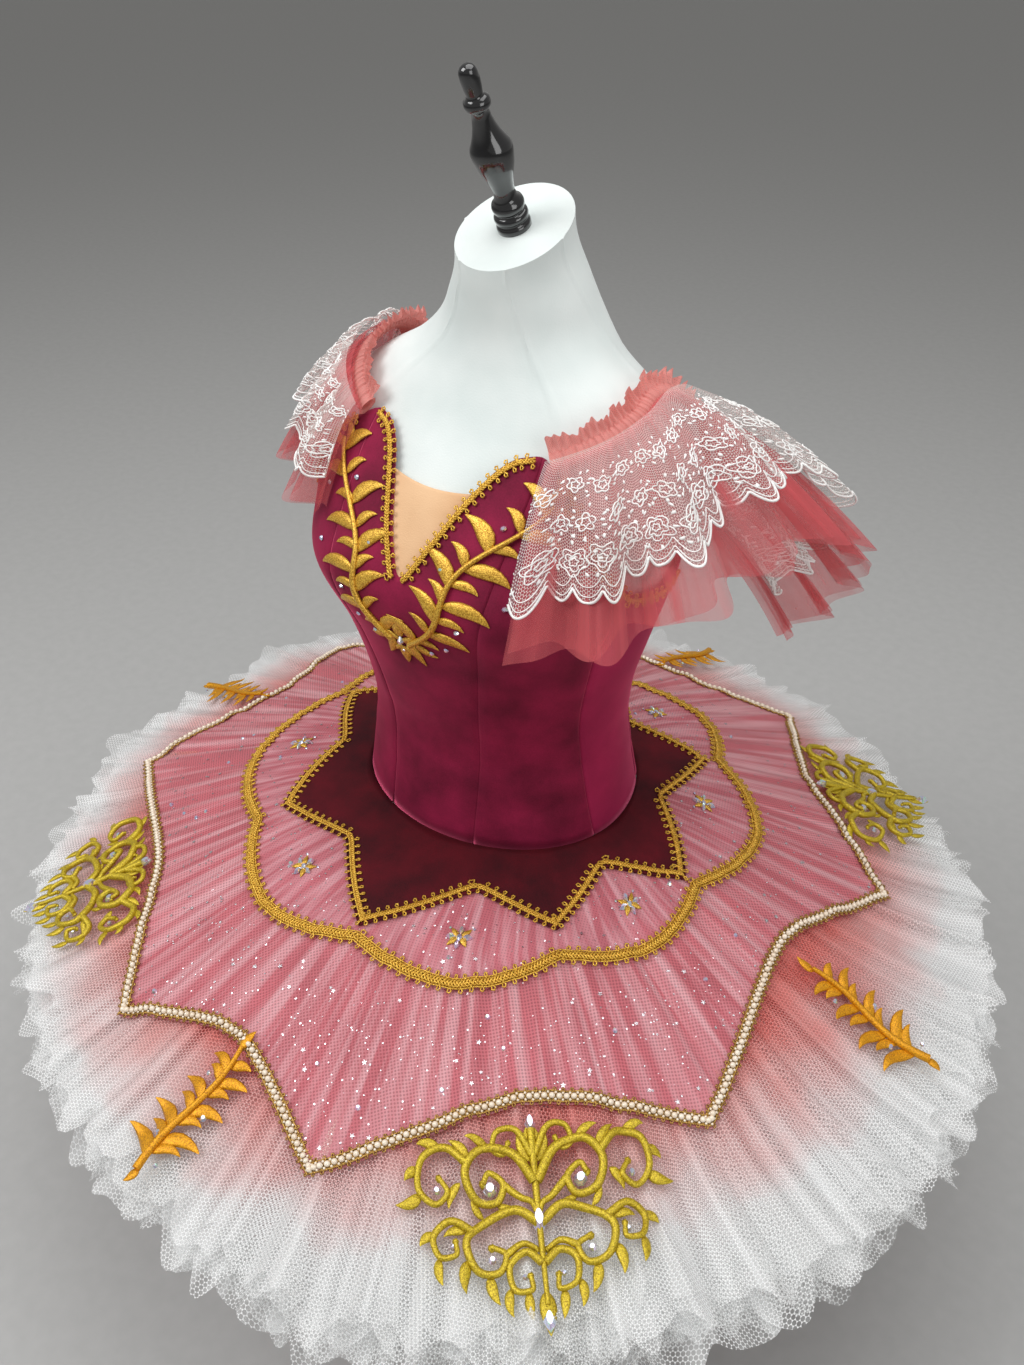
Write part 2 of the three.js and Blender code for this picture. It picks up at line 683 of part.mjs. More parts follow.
/** A braid that lies on a layer, just inside its outline. */
function skirtBraid(name, spots, layer, width, material) {
  const place = (row, column, face) => {
    const spot = spots[column];
    const reach = spot.reach - (row ? BRAID_INSET : width);
    return skirtPoint(spot.turn, reach, layer, SEAM_GAP + (face ? 0 : TRIM));
  };
  addPiece(name, wallFrom(2, spots.length, place, true), material);
}

function buildOverlays() {
  const star = overlay('basque_star', STAR, SKIRT_LAYERS.star, 'darkVelvet');
  const petals = overlay('petal_overlay', PETALS, SKIRT_LAYERS.petals, 'pinkNet');
  const outer = overlay('outer_overlay', OVERLAY, SKIRT_LAYERS.overlay, 'pinkNet');
  skirtBraid('star_braid', star, SKIRT_LAYERS.star, 9, 'gold');
  skirtBraid('petal_braid', petals, SKIRT_LAYERS.petals, 9, 'gold');
  skirtBraid('overlay_braid', outer, SKIRT_LAYERS.overlay, 10, 'pearl');
}

function buildNets() {
  for (const [index, net] of NETS.entries()) {
    const columns = index ? 44 : 64;
    const place = (row, column, face) => {
      const turn = (column * 360) / columns;
      const reaches = [0, HINGE_RADIUS, DROP_RADIUS, netReach(turn) * net.reach];
      const point = skirtPoint(turn, reaches[row], net, face ? -NET : 0);
      if (row < reaches.length - 1) return point;
      const calm = index ? 1 : Math.max(0, -Math.cos(radians(turn * 8)) - 0.5) * 2;
      const wave = Math.sin(radians(turn * net.waves)) + 0.5 * Math.sin(radians(turn * 7 + index * 50));
      return point.setZ(net.edge + calm * net.flute * wave - (face ? NET : 0));
    };
    addPiece(net.name, wallFrom(4, columns, place, true), 'whiteNet');
  }
}

/** The hip yoke that the nets are sewn to. */
function buildYoke() {
  const columns = 40;
  const top = SKIRT_TOP_INNER - SEAM_GAP - WAIST;
  const rows = 4;
  const place = (row, column, face) => {
    const up = THREE.MathUtils.lerp(YOKE_BOTTOM, top, row / (rows - 1));
    return bodyPoint((column * 360) / columns, up, face ? 0 : CLOTH);
  };
  addPiece('hip_yoke', wallFrom(rows, columns, place, true), 'whiteNet');
}

/** Motifs laid on a skirt layer: a half outline, mirrored, round each one's own centre. */
function skirtMotifs(name, motif, layer, lift) {
  const half = motif.outline;
  const other = half.slice(1, -1).reverse().map((spot) => ({ across: -spot.across, inward: spot.inward }));
  const edge = [...half, ...other];
  const inner = edge.map((spot) => ({ across: spot.across / 2, inward: spot.inward / 2 }));
  motif.places.forEach((middle, index) => {
    const place = (spot, face) => {
      const reach = middle.reach - spot.inward * middle.size;
      const aside = THREE.MathUtils.radToDeg((spot.across * middle.size) / reach);
      return skirtPoint(middle.turn + aside, reach, layer, lift + (face ? 0 : TRIM));
    };
    addPiece(`${name}_${index + 1}`, pad([inner, edge], place), 'gold');
  });
}

function buildMotifs() {
  skirtMotifs('medallion', MEDALLION, NETS[0], APPLIQUE_LIFT);
  skirtMotifs('branch', BRANCH, NETS[0], APPLIQUE_LIFT);
  skirtMotifs('crystal_flower', MOTIF, SKIRT_LAYERS.petals, FLOWER_LIFT);
}

// ------------------------------------------------------------------- sleeves

/** The heading's path and both hems, with the same number of steps to each row. */
function sleeveSpots(steps) {
  const spots = [];
  for (let i = 0; i < SLEEVE.length - 1; i += 1) {
    for (let step = 0; step < steps; step += 1) spots.push({ row: i, share: step / steps });
  }
  spots.push({ row: SLEEVE.length - 2, share: 1 });
  return spots.map(({ row, share }, index) => {
    const from = SLEEVE[row];
    const to = SLEEVE[row + 1];
    const hem = (key) => new THREE.Vector3(...from[key]).lerp(new THREE.Vector3(...to[key]), share);
    const mix = (key) => THREE.MathUtils.lerp(from[key], to[key], share);
    return { index, turn: mix('turn'), up: mix('up'), net: hem('net'), lace: hem('lace') };
  });
}

/** A gathered flounce that falls from the heading. */
function flounce(name, spots, hang, material) {
  const rows = 4;
  const columns = spots.length;
  const flare = new THREE.Vector3(hang.spread, (1 + hang.spread) / 2, hang.drop);
  const top = (row, column) => {
    const spot = spots[THREE.MathUtils.clamp(column, 0, columns - 1)];
    const share = THREE.MathUtils.clamp(row, 0, rows - 1) / (rows - 1);
    const fall = spot[hang.key].clone().multiply(flare);
    const outward = new THREE.Vector3(fall.x, fall.y, 0).normalize();
    const point = bodyPoint(spot.turn, spot.up, FLOUNCE.lift)
      .addScaledVector(outward, FLOUNCE.outward)
      .addScaledVector(fall, share);
    point.z += 4 * FLOUNCE.arch * share * (1 - share);
    const wave = column % 2 ? FLOUNCE.fold : -FLOUNCE.fold;
    return point.addScaledVector(outward, wave * share);
  };
  const place = (row, column, face) => {
    const across = top(row, column + 1).sub(top(row, column - 1));
    const along = top(row + 1, column).sub(top(row - 1, column));
    const inward = across.cross(along).normalize();
    const depth = (face ? FLOUNCE.wall : 0) - hang.lift;
    const point = top(row, column).addScaledVector(inward, depth);
    point.x *= hang.side;
    return point;
  };
  addPiece(name, wallFrom(rows, columns, place), material);
}

function buildSleeves() {
  const spots = sleeveSpots(2);
  for (const [letter, side, hang] of [['left', 1, LEFT_HANG], ['right', -1, RIGHT_HANG]]) {
    const path = spots.map((spot) => ({ turn: spot.turn * side, up: spot.up }));
    const { sides, lift, thickness } = HEADING;
    bodyBand(`sleeve_heading_${letter}`, path, sides, lift, thickness, 'sleeveNet');
    const net = { ...hang, key: 'net', side, lift: 0 };
    const lace = { ...hang, key: 'lace', side, lift: FLOUNCE.laceLift };
    flounce(`sleeve_net_${letter}`, spots, net, 'sleeveNet');
    flounce(`sleeve_lace_${letter}`, spots, lace, 'lace');
  }
}

buildStand(buildForm());
buildYoke();
buildBodice();
buildInsert();
buildBodiceTrims();
buildNets();
buildOverlays();
buildMotifs();
buildSleeves();

export default group;
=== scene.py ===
"""Looks of a ballet tutu on a dress form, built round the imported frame.

The bodice, skirt layers, sleeves and trims are laid on two shapes: the form's body and the skirt.
Inner sizes are in millimetres, as a cutter gives them, and every finished point is in metres.
"""

import logging
import math
import random
from dataclasses import dataclass, field
from enum import Enum
from typing import Any, Callable, Optional, Sequence

import bmesh
import bpy
import numpy as np
from mathutils import Matrix, Vector


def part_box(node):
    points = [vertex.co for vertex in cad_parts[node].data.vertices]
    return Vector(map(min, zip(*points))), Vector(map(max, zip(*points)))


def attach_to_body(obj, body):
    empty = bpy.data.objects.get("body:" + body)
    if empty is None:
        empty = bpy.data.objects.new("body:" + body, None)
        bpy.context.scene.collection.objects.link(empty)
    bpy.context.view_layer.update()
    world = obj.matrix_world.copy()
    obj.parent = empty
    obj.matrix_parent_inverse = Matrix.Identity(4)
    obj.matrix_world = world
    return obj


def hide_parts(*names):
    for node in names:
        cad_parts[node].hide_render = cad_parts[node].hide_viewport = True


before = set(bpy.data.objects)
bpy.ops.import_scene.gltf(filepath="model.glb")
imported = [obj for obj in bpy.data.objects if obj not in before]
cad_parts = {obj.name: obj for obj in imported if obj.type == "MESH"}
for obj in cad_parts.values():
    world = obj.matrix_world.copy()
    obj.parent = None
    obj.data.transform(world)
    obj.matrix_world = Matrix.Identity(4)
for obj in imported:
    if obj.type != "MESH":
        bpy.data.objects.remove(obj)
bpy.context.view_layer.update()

Array = np.ndarray
Place = Callable[[Array, Array], Array]
Laid = Callable[[Array, Array, Array], Array]

MM = 0.001
WAIST = 515.0  # height of the waist above the floor
CLOTH = 1.6  # height of a braid's ground above the form
ARM_PLATE = 161.0  # half width at which the arm plates cut the form flat
ROOT = "root"

log = logging.getLogger("tutu")


# ------------------------------------------------------------------ small helpers


def linear(code: str) -> tuple[float, float, float, float]:
    """Turns an sRGB hex colour into linear values.

    Args:
        code: Six hex digits, with or without a leading #.

    Returns:
        Red, green, blue and an alpha of one.
    """
    digits = code.lstrip("#")
    values = [int(digits[i:i + 2], 16) / 255 for i in (0, 2, 4)]
    light = [v / 12.92 if v <= 0.04045 else ((v + 0.055) / 1.055) ** 2.4 for v in values]
    return (*light, 1.0)


def add(tree: bpy.types.NodeTree, kind: str, inputs: Optional[dict] = None, **settings: Any) -> bpy.types.Node:
    """Adds one shader node with its settings and links.

    Args:
        tree: The material's node tree.
        kind: Node type without its ShaderNode prefix.
        inputs: Socket name or number to a value, or to an output socket to link.
        settings: Attributes of the node itself.

    Returns:
        The new node.
    """
    node = tree.nodes.new("ShaderNode" + kind)
    for key, value in settings.items():
        setattr(node, key, value)
    for key, value in (inputs or {}).items():
        if isinstance(value, bpy.types.NodeSocket):
            tree.links.new(value, node.inputs[key])
        else:
            node.inputs[key].default_value = value
    return node


def catmull(xs: Sequence[float], ys: Sequence[float], at: Array) -> Array:
    """Smooth curve through a table, with the slope of its neighbours at each row.

    Args:
        xs: Rising row positions.
        ys: Row values.
        at: Where to read the curve; held inside the table.

    Returns:
        The values.
    """
    x, y = np.asarray(xs, float), np.asarray(ys, float)
    slope = np.gradient(y, x)
    slope[1:-1] = (y[2:] - y[:-2]) / (x[2:] - x[:-2])
    held = np.clip(at, x[0], x[-1])
    i = np.clip(np.searchsorted(x, held) - 1, 0, len(x) - 2)
    span = x[i + 1] - x[i]
    f = (held - x[i]) / span
    return ((2 * f**3 - 3 * f**2 + 1) * y[i] + (f**3 - 2 * f**2 + f) * span * slope[i]
            + (3 * f**2 - 2 * f**3) * y[i + 1] + (f**3 - f**2) * span * slope[i + 1])


def wrapped(turn: Array) -> Array:
    """Turns brought between -180 and 180 degrees."""
    return np.mod(np.asarray(turn, float) + 180.0, 360.0) - 180.0


def unit(vectors: Array) -> Array:
    """Rows scaled to a length of one."""
    return vectors / np.maximum(np.linalg.norm(vectors, axis=-1, keepdims=True), 1e-9)


def from_bmesh(name: str, work: bmesh.types.BMesh) -> bpy.types.Mesh:
    """A mesh made from a bmesh, which is freed."""
    mesh = bpy.data.meshes.new(name)
    work.to_mesh(mesh)
    work.free()
    return mesh


def corners_of(small: bpy.types.Mesh) -> Array:
    """Corner rows of a mesh."""
    return np.array([v.co for v in small.vertices])


def columns_of(rows: Sequence[tuple]) -> list[Array]:
    """Columns of a table, each standing upright to meet a row of corners."""
    return [column[:, None] for column in np.array(rows, float).T]


def copied(name: str, small: bpy.types.Mesh, points: Array) -> bpy.types.Mesh:
    """One mesh of many copies of a small one.

    Args:
        name: The mesh's name.
        small: The mesh whose faces are copied.
        points: Corners of each copy in turn, in millimetres.

    Returns:
        The mesh, in metres.
    """
    faces = [tuple(index + start for index in face.vertices)
             for start in range(0, len(points), len(small.vertices)) for face in small.polygons]
    mesh = bpy.data.meshes.new(name)
    mesh.from_pydata((points * MM).tolist(), [], faces)
    mesh.update()
    return mesh


def new_object(name: str, mesh: bpy.types.Mesh, finish: bpy.types.Material) -> bpy.types.Object:
    """Puts a mesh in the scene as a smooth-shaded piece with one material."""
    piece = bpy.data.objects.new(name, mesh)
    bpy.context.scene.collection.objects.link(piece)
    mesh.materials.clear()
    mesh.materials.append(finish)
    mesh.shade_smooth()
    return piece


def face_outwards(piece: bpy.types.Object) -> None:
    """Turns a closed piece's faces over if they enclose a negative volume, as on a mirrored board."""
    total = 0.0
    points = piece.data.vertices
    for face in piece.data.polygons:
        a, *others = (points[i].co for i in face.vertices)
        total += sum(a.dot(b.cross(c)) for b, c in zip(others, others[1:]))
    if total < 0:
        piece.data.flip_normals()


def attach(piece: bpy.types.Object, slot: str, *nodes: str) -> bpy.types.Object:
    """Rides a piece on the part's one body and hides the solids that it stands for."""
    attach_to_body(piece, ROOT)
    if nodes:
        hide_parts(*nodes)
    return piece


def cloth_mesh(name: str, columns: int, rows: int, place: Place, size: tuple[float, float],
               ring: bool = False) -> bpy.types.Mesh:
    """A sheet made from a flat grid, every point of which is moved to its place.

    Args:
        name: The mesh's name.
        columns: Squares across the grid.
        rows: Squares up the grid.
        place: Gives points in millimetres for arrays of shares across and up.
        size: Width and length of the cloth in metres, which the UV map is scaled to.
        ring: Whether the two sides meet.

    Returns:
        The mesh, in metres.
    """
    sheet = bmesh.new()
    layer = sheet.loops.layers.uv.new("cloth")
    bmesh.ops.create_grid(sheet, x_segments=columns, y_segments=rows, size=0.5, calc_uvs=True)
    flat = np.array([v.co[:2] for v in sheet.verts]) + 0.5
    points = place(flat[:, 0], flat[:, 1]) * MM
    for vertex, point in zip(sheet.verts, points):
        vertex.co = point
    for face in sheet.faces:
        for loop in face.loops:
            uv = loop[layer].uv
            loop[layer].uv = (uv[0] * size[0], uv[1] * size[1])
    if ring:
        bmesh.ops.remove_doubles(sheet, verts=sheet.verts, dist=2e-5)
    return from_bmesh(name, sheet)


def joined(name: str, parts: Sequence[bpy.types.Mesh]) -> bpy.types.Mesh:
    """Several meshes as one, keeping their UV maps."""
    whole = bmesh.new()
    for part in parts:
        whole.from_mesh(part)
    return from_bmesh(name, whole)


def thicken(piece: bpy.types.Object, thickness: float) -> None:
    """Gives a sheet its real thickness in metres, inwards from its face."""
    solid = piece.modifiers.new("cloth thickness", "SOLIDIFY")
    solid.thickness = thickness
    solid.offset = -1.0
    solid.use_even_offset = True


def cord_mesh(name: str, paths: Sequence[Array], radius: float, closed: bool = False, sides: int = 1,
              tapers: Optional[Sequence[Array]] = None) -> bpy.types.Mesh:
    """Round cords along paths, as one mesh.

    Args:
        name: The mesh's name.
        paths: Point rows in millimetres.
        radius: Cord radius in millimetres.
        closed: Whether the paths close on themselves.
        sides: Steps of roundness in each quarter.
        tapers: Radius shares along each path.

    Returns:
        The mesh, in metres.
    """
    curve = bpy.data.curves.new(name, "CURVE")
    curve.dimensions = "3D"
    curve.bevel_depth = radius * MM
    curve.bevel_resolution = sides
    curve.use_fill_caps = True
    for number, path in enumerate(paths):
        spline = curve.splines.new("POLY")
        spline.points.add(len(path) - 1)
        spline.points.foreach_set("co", np.column_stack([path * MM, np.ones(len(path))]).ravel())
        if tapers is not None:
            spline.points.foreach_set("radius", tapers[number])
        spline.use_cyclic_u = closed
        spline.use_smooth = True
    carrier = bpy.data.objects.new(name, curve)
    bpy.context.scene.collection.objects.link(carrier)
    mesh = bpy.data.meshes.new_from_object(carrier.evaluated_get(bpy.context.evaluated_depsgraph_get()))
    mesh.name = name
    bpy.data.objects.remove(carrier)
    bpy.data.curves.remove(curve)
    return mesh


def sown(name: str, small: bpy.types.Mesh, centres: Array, frames: Array) -> bpy.types.Mesh:
    """Many copies of one small mesh joined into one.

    Args:
        name: The mesh's name.
        small: The small mesh, in millimetres about its own origin.
        centres: Middle of each copy, in millimetres.
        frames: For each copy, three rows: its own x, y and z directions, scaled.

    Returns:
        The joined mesh, in metres.
    """
    points = np.einsum("vi,nij->nvj", corners_of(small), frames) + centres[:, None, :]
    return copied(name, small, points.reshape(-1, 3))


def template(kind: str, shape: Optional[Callable[[Array], Array]] = None, **sizes: Any) -> bpy.types.Mesh:
    """A small mesh from one bmesh create operator.

    Args:
        kind: The operator's name after create_.
        shape: Reshapes the corner rows.
        sizes: The operator's own settings.

    Returns:
        The mesh, in millimetres.
    """
    small = bmesh.new()
    getattr(bmesh.ops, "create_" + kind)(small, **sizes)
    if shape is not None:
        moved = shape(np.array([v.co for v in small.verts]))
        for vertex, point in zip(small.verts, moved):
            vertex.co = point
    bmesh.ops.recalc_face_normals(small, faces=small.faces)
    return from_bmesh(kind, small)


# ------------------------------------------------------------------------ finishes


class Weave(Enum):
    """Ways that a cloth's threads leave holes."""

    HEXAGON = "hexagon net"
    DIAMOND = "diamond tulle"


def turned(tree: bpy.types.NodeTree, point: bpy.types.NodeSocket, turn: float) -> bpy.types.NodeSocket:
    """Coordinates turned about Z."""
    return add(tree, "Mapping", {"Vector": point, "Rotation": (0.0, 0.0, turn)}).outputs["Vector"]


def object_point(tree: bpy.types.NodeTree, turn: float = 0.0) -> bpy.types.NodeSocket:
    """Object coordinates, turned about Z."""
    return turned(tree, add(tree, "TexCoord").outputs["Object"], turn)


def cloth_point(tree: bpy.types.NodeTree, turn: float = 0.0) -> bpy.types.NodeSocket:
    """The piece's own UV map in metres, turned."""
    return turned(tree, add(tree, "UVMap", uv_map="cloth").outputs["UV"], turn)


def math_node(tree: bpy.types.NodeTree, operation: str, *values: Any) -> bpy.types.NodeSocket:
    """One arithmetic step on sockets or numbers."""
    return add(tree, "Math", dict(enumerate(values)), operation=operation).outputs[0]


def mixed_colour(tree: bpy.types.NodeTree, share: bpy.types.NodeSocket, colour: bpy.types.NodeSocket,
                 code: str) -> bpy.types.NodeSocket:
    """A colour mixed towards an sRGB hex colour by a share."""
    return add(tree, "Mix", {0: share, 6: colour, 7: linear(code)}, data_type="RGBA").outputs[2]


def noise(tree: bpy.types.NodeTree, point: bpy.types.NodeSocket, scale: float,
          detail: float) -> bpy.types.NodeSocket:
    """Soft noise between 0 and 1, with the scale in patches a metre."""
    return add(tree, "TexNoise", {"Vector": point, "Scale": scale, "Detail": detail}).outputs["Fac"]


def ramp(tree: bpy.types.NodeTree, fac: bpy.types.NodeSocket,
         stops: Sequence[tuple[float, tuple]]) -> bpy.types.NodeSocket:
    """A colour ramp through stops of position and linear colour."""
    node = add(tree, "ValToRGB", {"Fac": fac})
    line = node.color_ramp.elements
    while len(line) < len(stops):
        line.new(0.5)
    for element, (position, colour) in zip(line, stops):
        element.position = position
        element.color = colour
    return node.outputs["Color"]


def open_weave(tree: bpy.types.NodeTree, point: bpy.types.NodeSocket, pitch: float,
               weave: Weave, cover: float) -> bpy.types.NodeSocket:
    """One where a thread lies and zero in the holes.

    Three waves at sixty degrees make round holes in a hexagon net; two crossed waves make diamonds.

    Args:
        tree: The material's node tree.
        point: Coordinates in metres.
        pitch: Distance between holes in metres.
        weave: The net's kind.
        cover: Higher values leave wider threads.

    Returns:
        The thread mask.
    """
    angles = (0.0, 60.0, 120.0) if weave is Weave.HEXAGON else (45.0, 135.0)
    wave_length = pitch * (math.sqrt(3) / 2 if weave is Weave.HEXAGON else 1.0)
    total: Any = 0.0
    for angle in angles:
        direction = (math.cos(math.radians(angle)), math.sin(math.radians(angle)), 0.0)
        run = add(tree, "VectorMath", {0: point, 1: direction}, operation="DOT_PRODUCT").outputs["Value"]
        wave = math_node(tree, "COSINE", math_node(tree, "MULTIPLY", run, 2 * math.pi / wave_length))
        total = math_node(tree, "ADD", total, wave)
    softness = 0.35
    fall = math_node(tree, "SUBTRACT", cover, total)
    return add(tree, "Clamp", {"Value": math_node(tree, "DIVIDE", fall, softness)}).outputs[0]


@dataclass(frozen=True)
class Finish:
    """A procedural look. Grain finer than a view can show is drawn coarser than the real one."""

    name: str

    def shader(self, tree: bpy.types.NodeTree) -> bpy.types.NodeSocket:
        """Adds the look's own nodes and gives the shader that they end in."""
        raise NotImplementedError

    def make(self) -> bpy.types.Material:
        """Builds the material."""
        material = bpy.data.materials.new(self.name)
        material.use_nodes = True
        material.node_tree.nodes.clear()
        add(material.node_tree, "OutputMaterial", {"Surface": self.shader(material.node_tree)})
        return material


@dataclass(frozen=True)
class Velvet(Finish):
    """Stretch velvet: a deep pile that drinks light face on and glows at a slant, laid in patches whose lit colour
    is a painted sheen.
    """

    deep: str
    lit: str
    glow: str
    sheen: float = 0.9
    patch_mm: float = 45.0
    pile_mm: float = 1.2

    def shader(self, tree: bpy.types.NodeTree) -> bpy.types.NodeSocket:
        """Patches of laid pile from the deep colour to the lit one, a painted sheen, with the pile as a fine bump.
        """
        point = object_point(tree)
        patches = noise(tree, point, 1000 / self.patch_mm, 4.0)
        pile = noise(tree, point, 1000 / self.pile_mm, 1.0)
        mixed = math_node(tree, "ADD", math_node(tree, "MULTIPLY", patches, 0.8),
                          math_node(tree, "MULTIPLY", pile, 0.2))
        # Painted sheen: the lit colour marks the raised patches where the pile catches light.
        colour = ramp(tree, mixed, [(0.32, linear(self.deep)), (0.7, linear(self.lit))])
        bump = add(tree, "Bump", {"Strength": 0.25, "Distance": 0.0008, "Height": mixed})
        surface = add(tree, "BsdfPrincipled", {
            "Base Color": colour, "Roughness": 0.78, "Specular IOR Level": 0.25, "Sheen Weight": self.sheen,
            "Sheen Roughness": 0.32, "Sheen Tint": linear(self.glow), "Normal": bump.outputs[0]})
        return surface.outputs[0]


@dataclass(frozen=True)
class OpenNet(Finish):
    """Net or tulle: stiff crossing threads with holes that show what lies under them."""

    colour: str
    inner_colour: Optional[str] = None
    pitch_mm: float = 3.0
    weave: Weave = Weave.HEXAGON
    cover: float = 0.35
    veil: float = 0.25
    turn: float = 0.0
    inner_reach: float = 0.3
    outer_reach: float = 0.42
    glitter: float = 0.0
    by_cloth: bool = False
    streak_colour: Optional[str] = None
    streak_veil: float = 0.0
    streaks_each_m: tuple = (70.0, 3.0, 1.0)

    def shader(self, tree: bpy.types.NodeTree) -> bpy.types.NodeSocket:
        """Threads, dyed and gathered shades and glints, over clear holes."""
        point = (cloth_point if self.by_cloth else object_point)(tree, self.turn)
        threads = open_weave(tree, point, self.pitch_mm * MM, self.weave, self.cover)
        cloud = noise(tree, object_point(tree), 22.0, 3.0)
        if self.inner_colour:
            plan = add(tree, "VectorMath", {0: object_point(tree), 1: (1.0, 1.0, 0.0)}, operation="MULTIPLY")
            reach = add(tree, "VectorMath", {0: plan.outputs[0]}, operation="LENGTH").outputs["Value"]
            uneven = math_node(tree, "MULTIPLY", math_node(tree, "SUBTRACT", cloud, 0.5), 0.09)
            bled = math_node(tree, "ADD", reach, uneven)
            share = add(tree, "MapRange", {"Value": bled, "From Min": self.inner_reach,
                                           "From Max": self.outer_reach}).outputs[0]
            colour = ramp(tree, share, [(0.0, linear(self.inner_colour)), (1.0, linear(self.colour))])
        else:
            shade = tuple(channel * 0.82 for channel in linear(self.colour)[:3]) + (1.0,)
            colour = ramp(tree, cloud, [(0.3, shade), (0.7, linear(self.colour))])
        drawn = add(tree, "Mapping", {"Vector": cloth_point(tree), "Scale": self.streaks_each_m})
        folds = noise(tree, drawn.outputs[0], 1.0, 2.0)
        gathered = add(tree, "MapRange", {"Value": folds, "From Min": 0.42, "From Max": 0.66}).outputs[0]
        if self.streak_colour:
            colour = mixed_colour(tree, gathered, colour, self.streak_colour)
        rough: Any = 0.55
        metal: Any = 0.0
        if self.glitter:
            cells = add(tree, "TexVoronoi", {"Vector": object_point(tree), "Scale": 900.0})
            spark = math_node(tree, "GREATER_THAN", cells.outputs["Color"], 1.0 - self.glitter)
            colour = mixed_colour(tree, spark, colour, "#f6eef2")
            rough = math_node(tree, "SUBTRACT", 0.55, math_node(tree, "MULTIPLY", spark, 0.3))
            metal = spark
        surface = add(tree, "BsdfPrincipled", {"Base Color": colour, "Roughness": rough, "Metallic": metal,
                                               "Specular IOR Level": 0.4, "Sheen Weight": 0.15})
        glow = add(tree, "BsdfTranslucent", {"Color": colour})
        body = add(tree, "MixShader", {0: 0.3, 1: surface.outputs[0], 2: glow.outputs[0]})
        clear = add(tree, "BsdfTransparent")
        veil = math_node(tree, "ADD", self.veil, math_node(tree, "MULTIPLY", gathered, self.streak_veil))
        held = add(tree, "Clamp", {"Value": math_node(tree, "ADD", veil, threads)}).outputs[0]
        return add(tree, "MixShader", {0: held, 1: clear.outputs[0], 2: body.outputs[0]}).outputs[0]


@dataclass(frozen=True)
class SolidCloth(Finish):
    """Close knit or mesh with no holes: soft, matt, with its threads as a fine bump."""

    colour: str
    shade: str
    thread_mm: float = 1.5
    bump: float = 0.3
    sheen: float = 0.2

    def shader(self, tree: bpy.types.NodeTree) -> bpy.types.NodeSocket:
        """Cloudy colour, with the knit as a fine bump."""
        point = object_point(tree)
        cloud = noise(tree, point, 14.0, 3.0)
        colour = ramp(tree, cloud, [(0.3, linear(self.shade)), (0.7, linear(self.colour))])
        knit = noise(tree, point, 1000 / self.thread_mm, 1.0)
        bump = add(tree, "Bump", {"Strength": self.bump, "Distance": 0.0006, "Height": knit})
        surface = add(tree, "BsdfPrincipled", {"Base Color": colour, "Roughness": 0.8, "Specular IOR Level": 0.3,
                                               "Sheen Weight": self.sheen, "Normal": bump.outputs[0]})
        return surface.outputs[0]


@dataclass(frozen=True)
class MetalThread(Finish):
    """Gold or silver thread wound round a cotton core: grainy, with painted highlight on the windings and painted
    shade in the hollows.
    """

    bright: str
    hollow_shade: str
    rough: float = 0.38
    metal: float = 0.85
    grain_mm: float = 1.0

    def shader(self, tree: bpy.types.NodeTree) -> bpy.types.NodeSocket:
        """Windings in painted highlight over hollows in painted shade."""
        point = object_point(tree)
        wound = noise(tree, point, 1000 / self.grain_mm, 2.0)
        # Painted light: the grain that raises the windings also colours their tops bright and their hollows dark.
        colour = ramp(tree, wound, [(0.35, linear(self.hollow_shade)), (0.62, linear(self.bright))])
        bump = add(tree, "Bump", {"Strength": 0.6, "Distance": 0.0006, "Height": wound})
        surface = add(tree, "BsdfPrincipled", {
            "Base Color": colour, "Metallic": self.metal, "Roughness": self.rough, "Normal": bump.outputs[0]})
        return surface.outputs[0]


@dataclass(frozen=True)
class Polished(Finish):
    """A smooth hard finish: lacquer, pearl or painted metal."""

    colour: str
    rough: float
    coat: float = 0.0
    tint: Optional[str] = None

    def shader(self, tree: bpy.types.NodeTree) -> bpy.types.NodeSocket:
        """One colour with a slight unevenness in tone, under an optional coat."""
        cloud = noise(tree, object_point(tree), 60.0, 2.0)
        colour = ramp(tree, cloud, [(0.3, linear(self.tint or self.colour)), (0.7, linear(self.colour))])
        surface = add(tree, "BsdfPrincipled", {
            "Base Color": colour, "Roughness": self.rough, "Coat Weight": self.coat, "Coat Roughness": 0.06})
        return surface.outputs[0]


@dataclass(frozen=True)
class CutStone(Finish):
    """Foiled glass rhinestone: clear facets over a mirror back, with a coloured coating that shifts."""

    colours: tuple[str, ...] = ("#f4f8ff", "#cfe3ff", "#f3d9ff", "#d8fff0")
    facet_mm: float = 4.0

    def shader(self, tree: bpy.types.NodeTree) -> bpy.types.NodeSocket:
        """Mirror facets in shifting tints."""
        cells = noise(tree, object_point(tree), 1000 / self.facet_mm, 0.0)
        steps = [(0.3 + 0.13 * i, linear(code)) for i, code in enumerate(self.colours)]
        surface = add(tree, "BsdfPrincipled", {"Base Color": ramp(tree, cells, steps), "Metallic": 0.75,
                                               "Roughness": 0.08, "Coat Weight": 1.0, "Coat Roughness": 0.02})
        return surface.outputs[0]


# --------------------------------------------------------------- the two big shapes


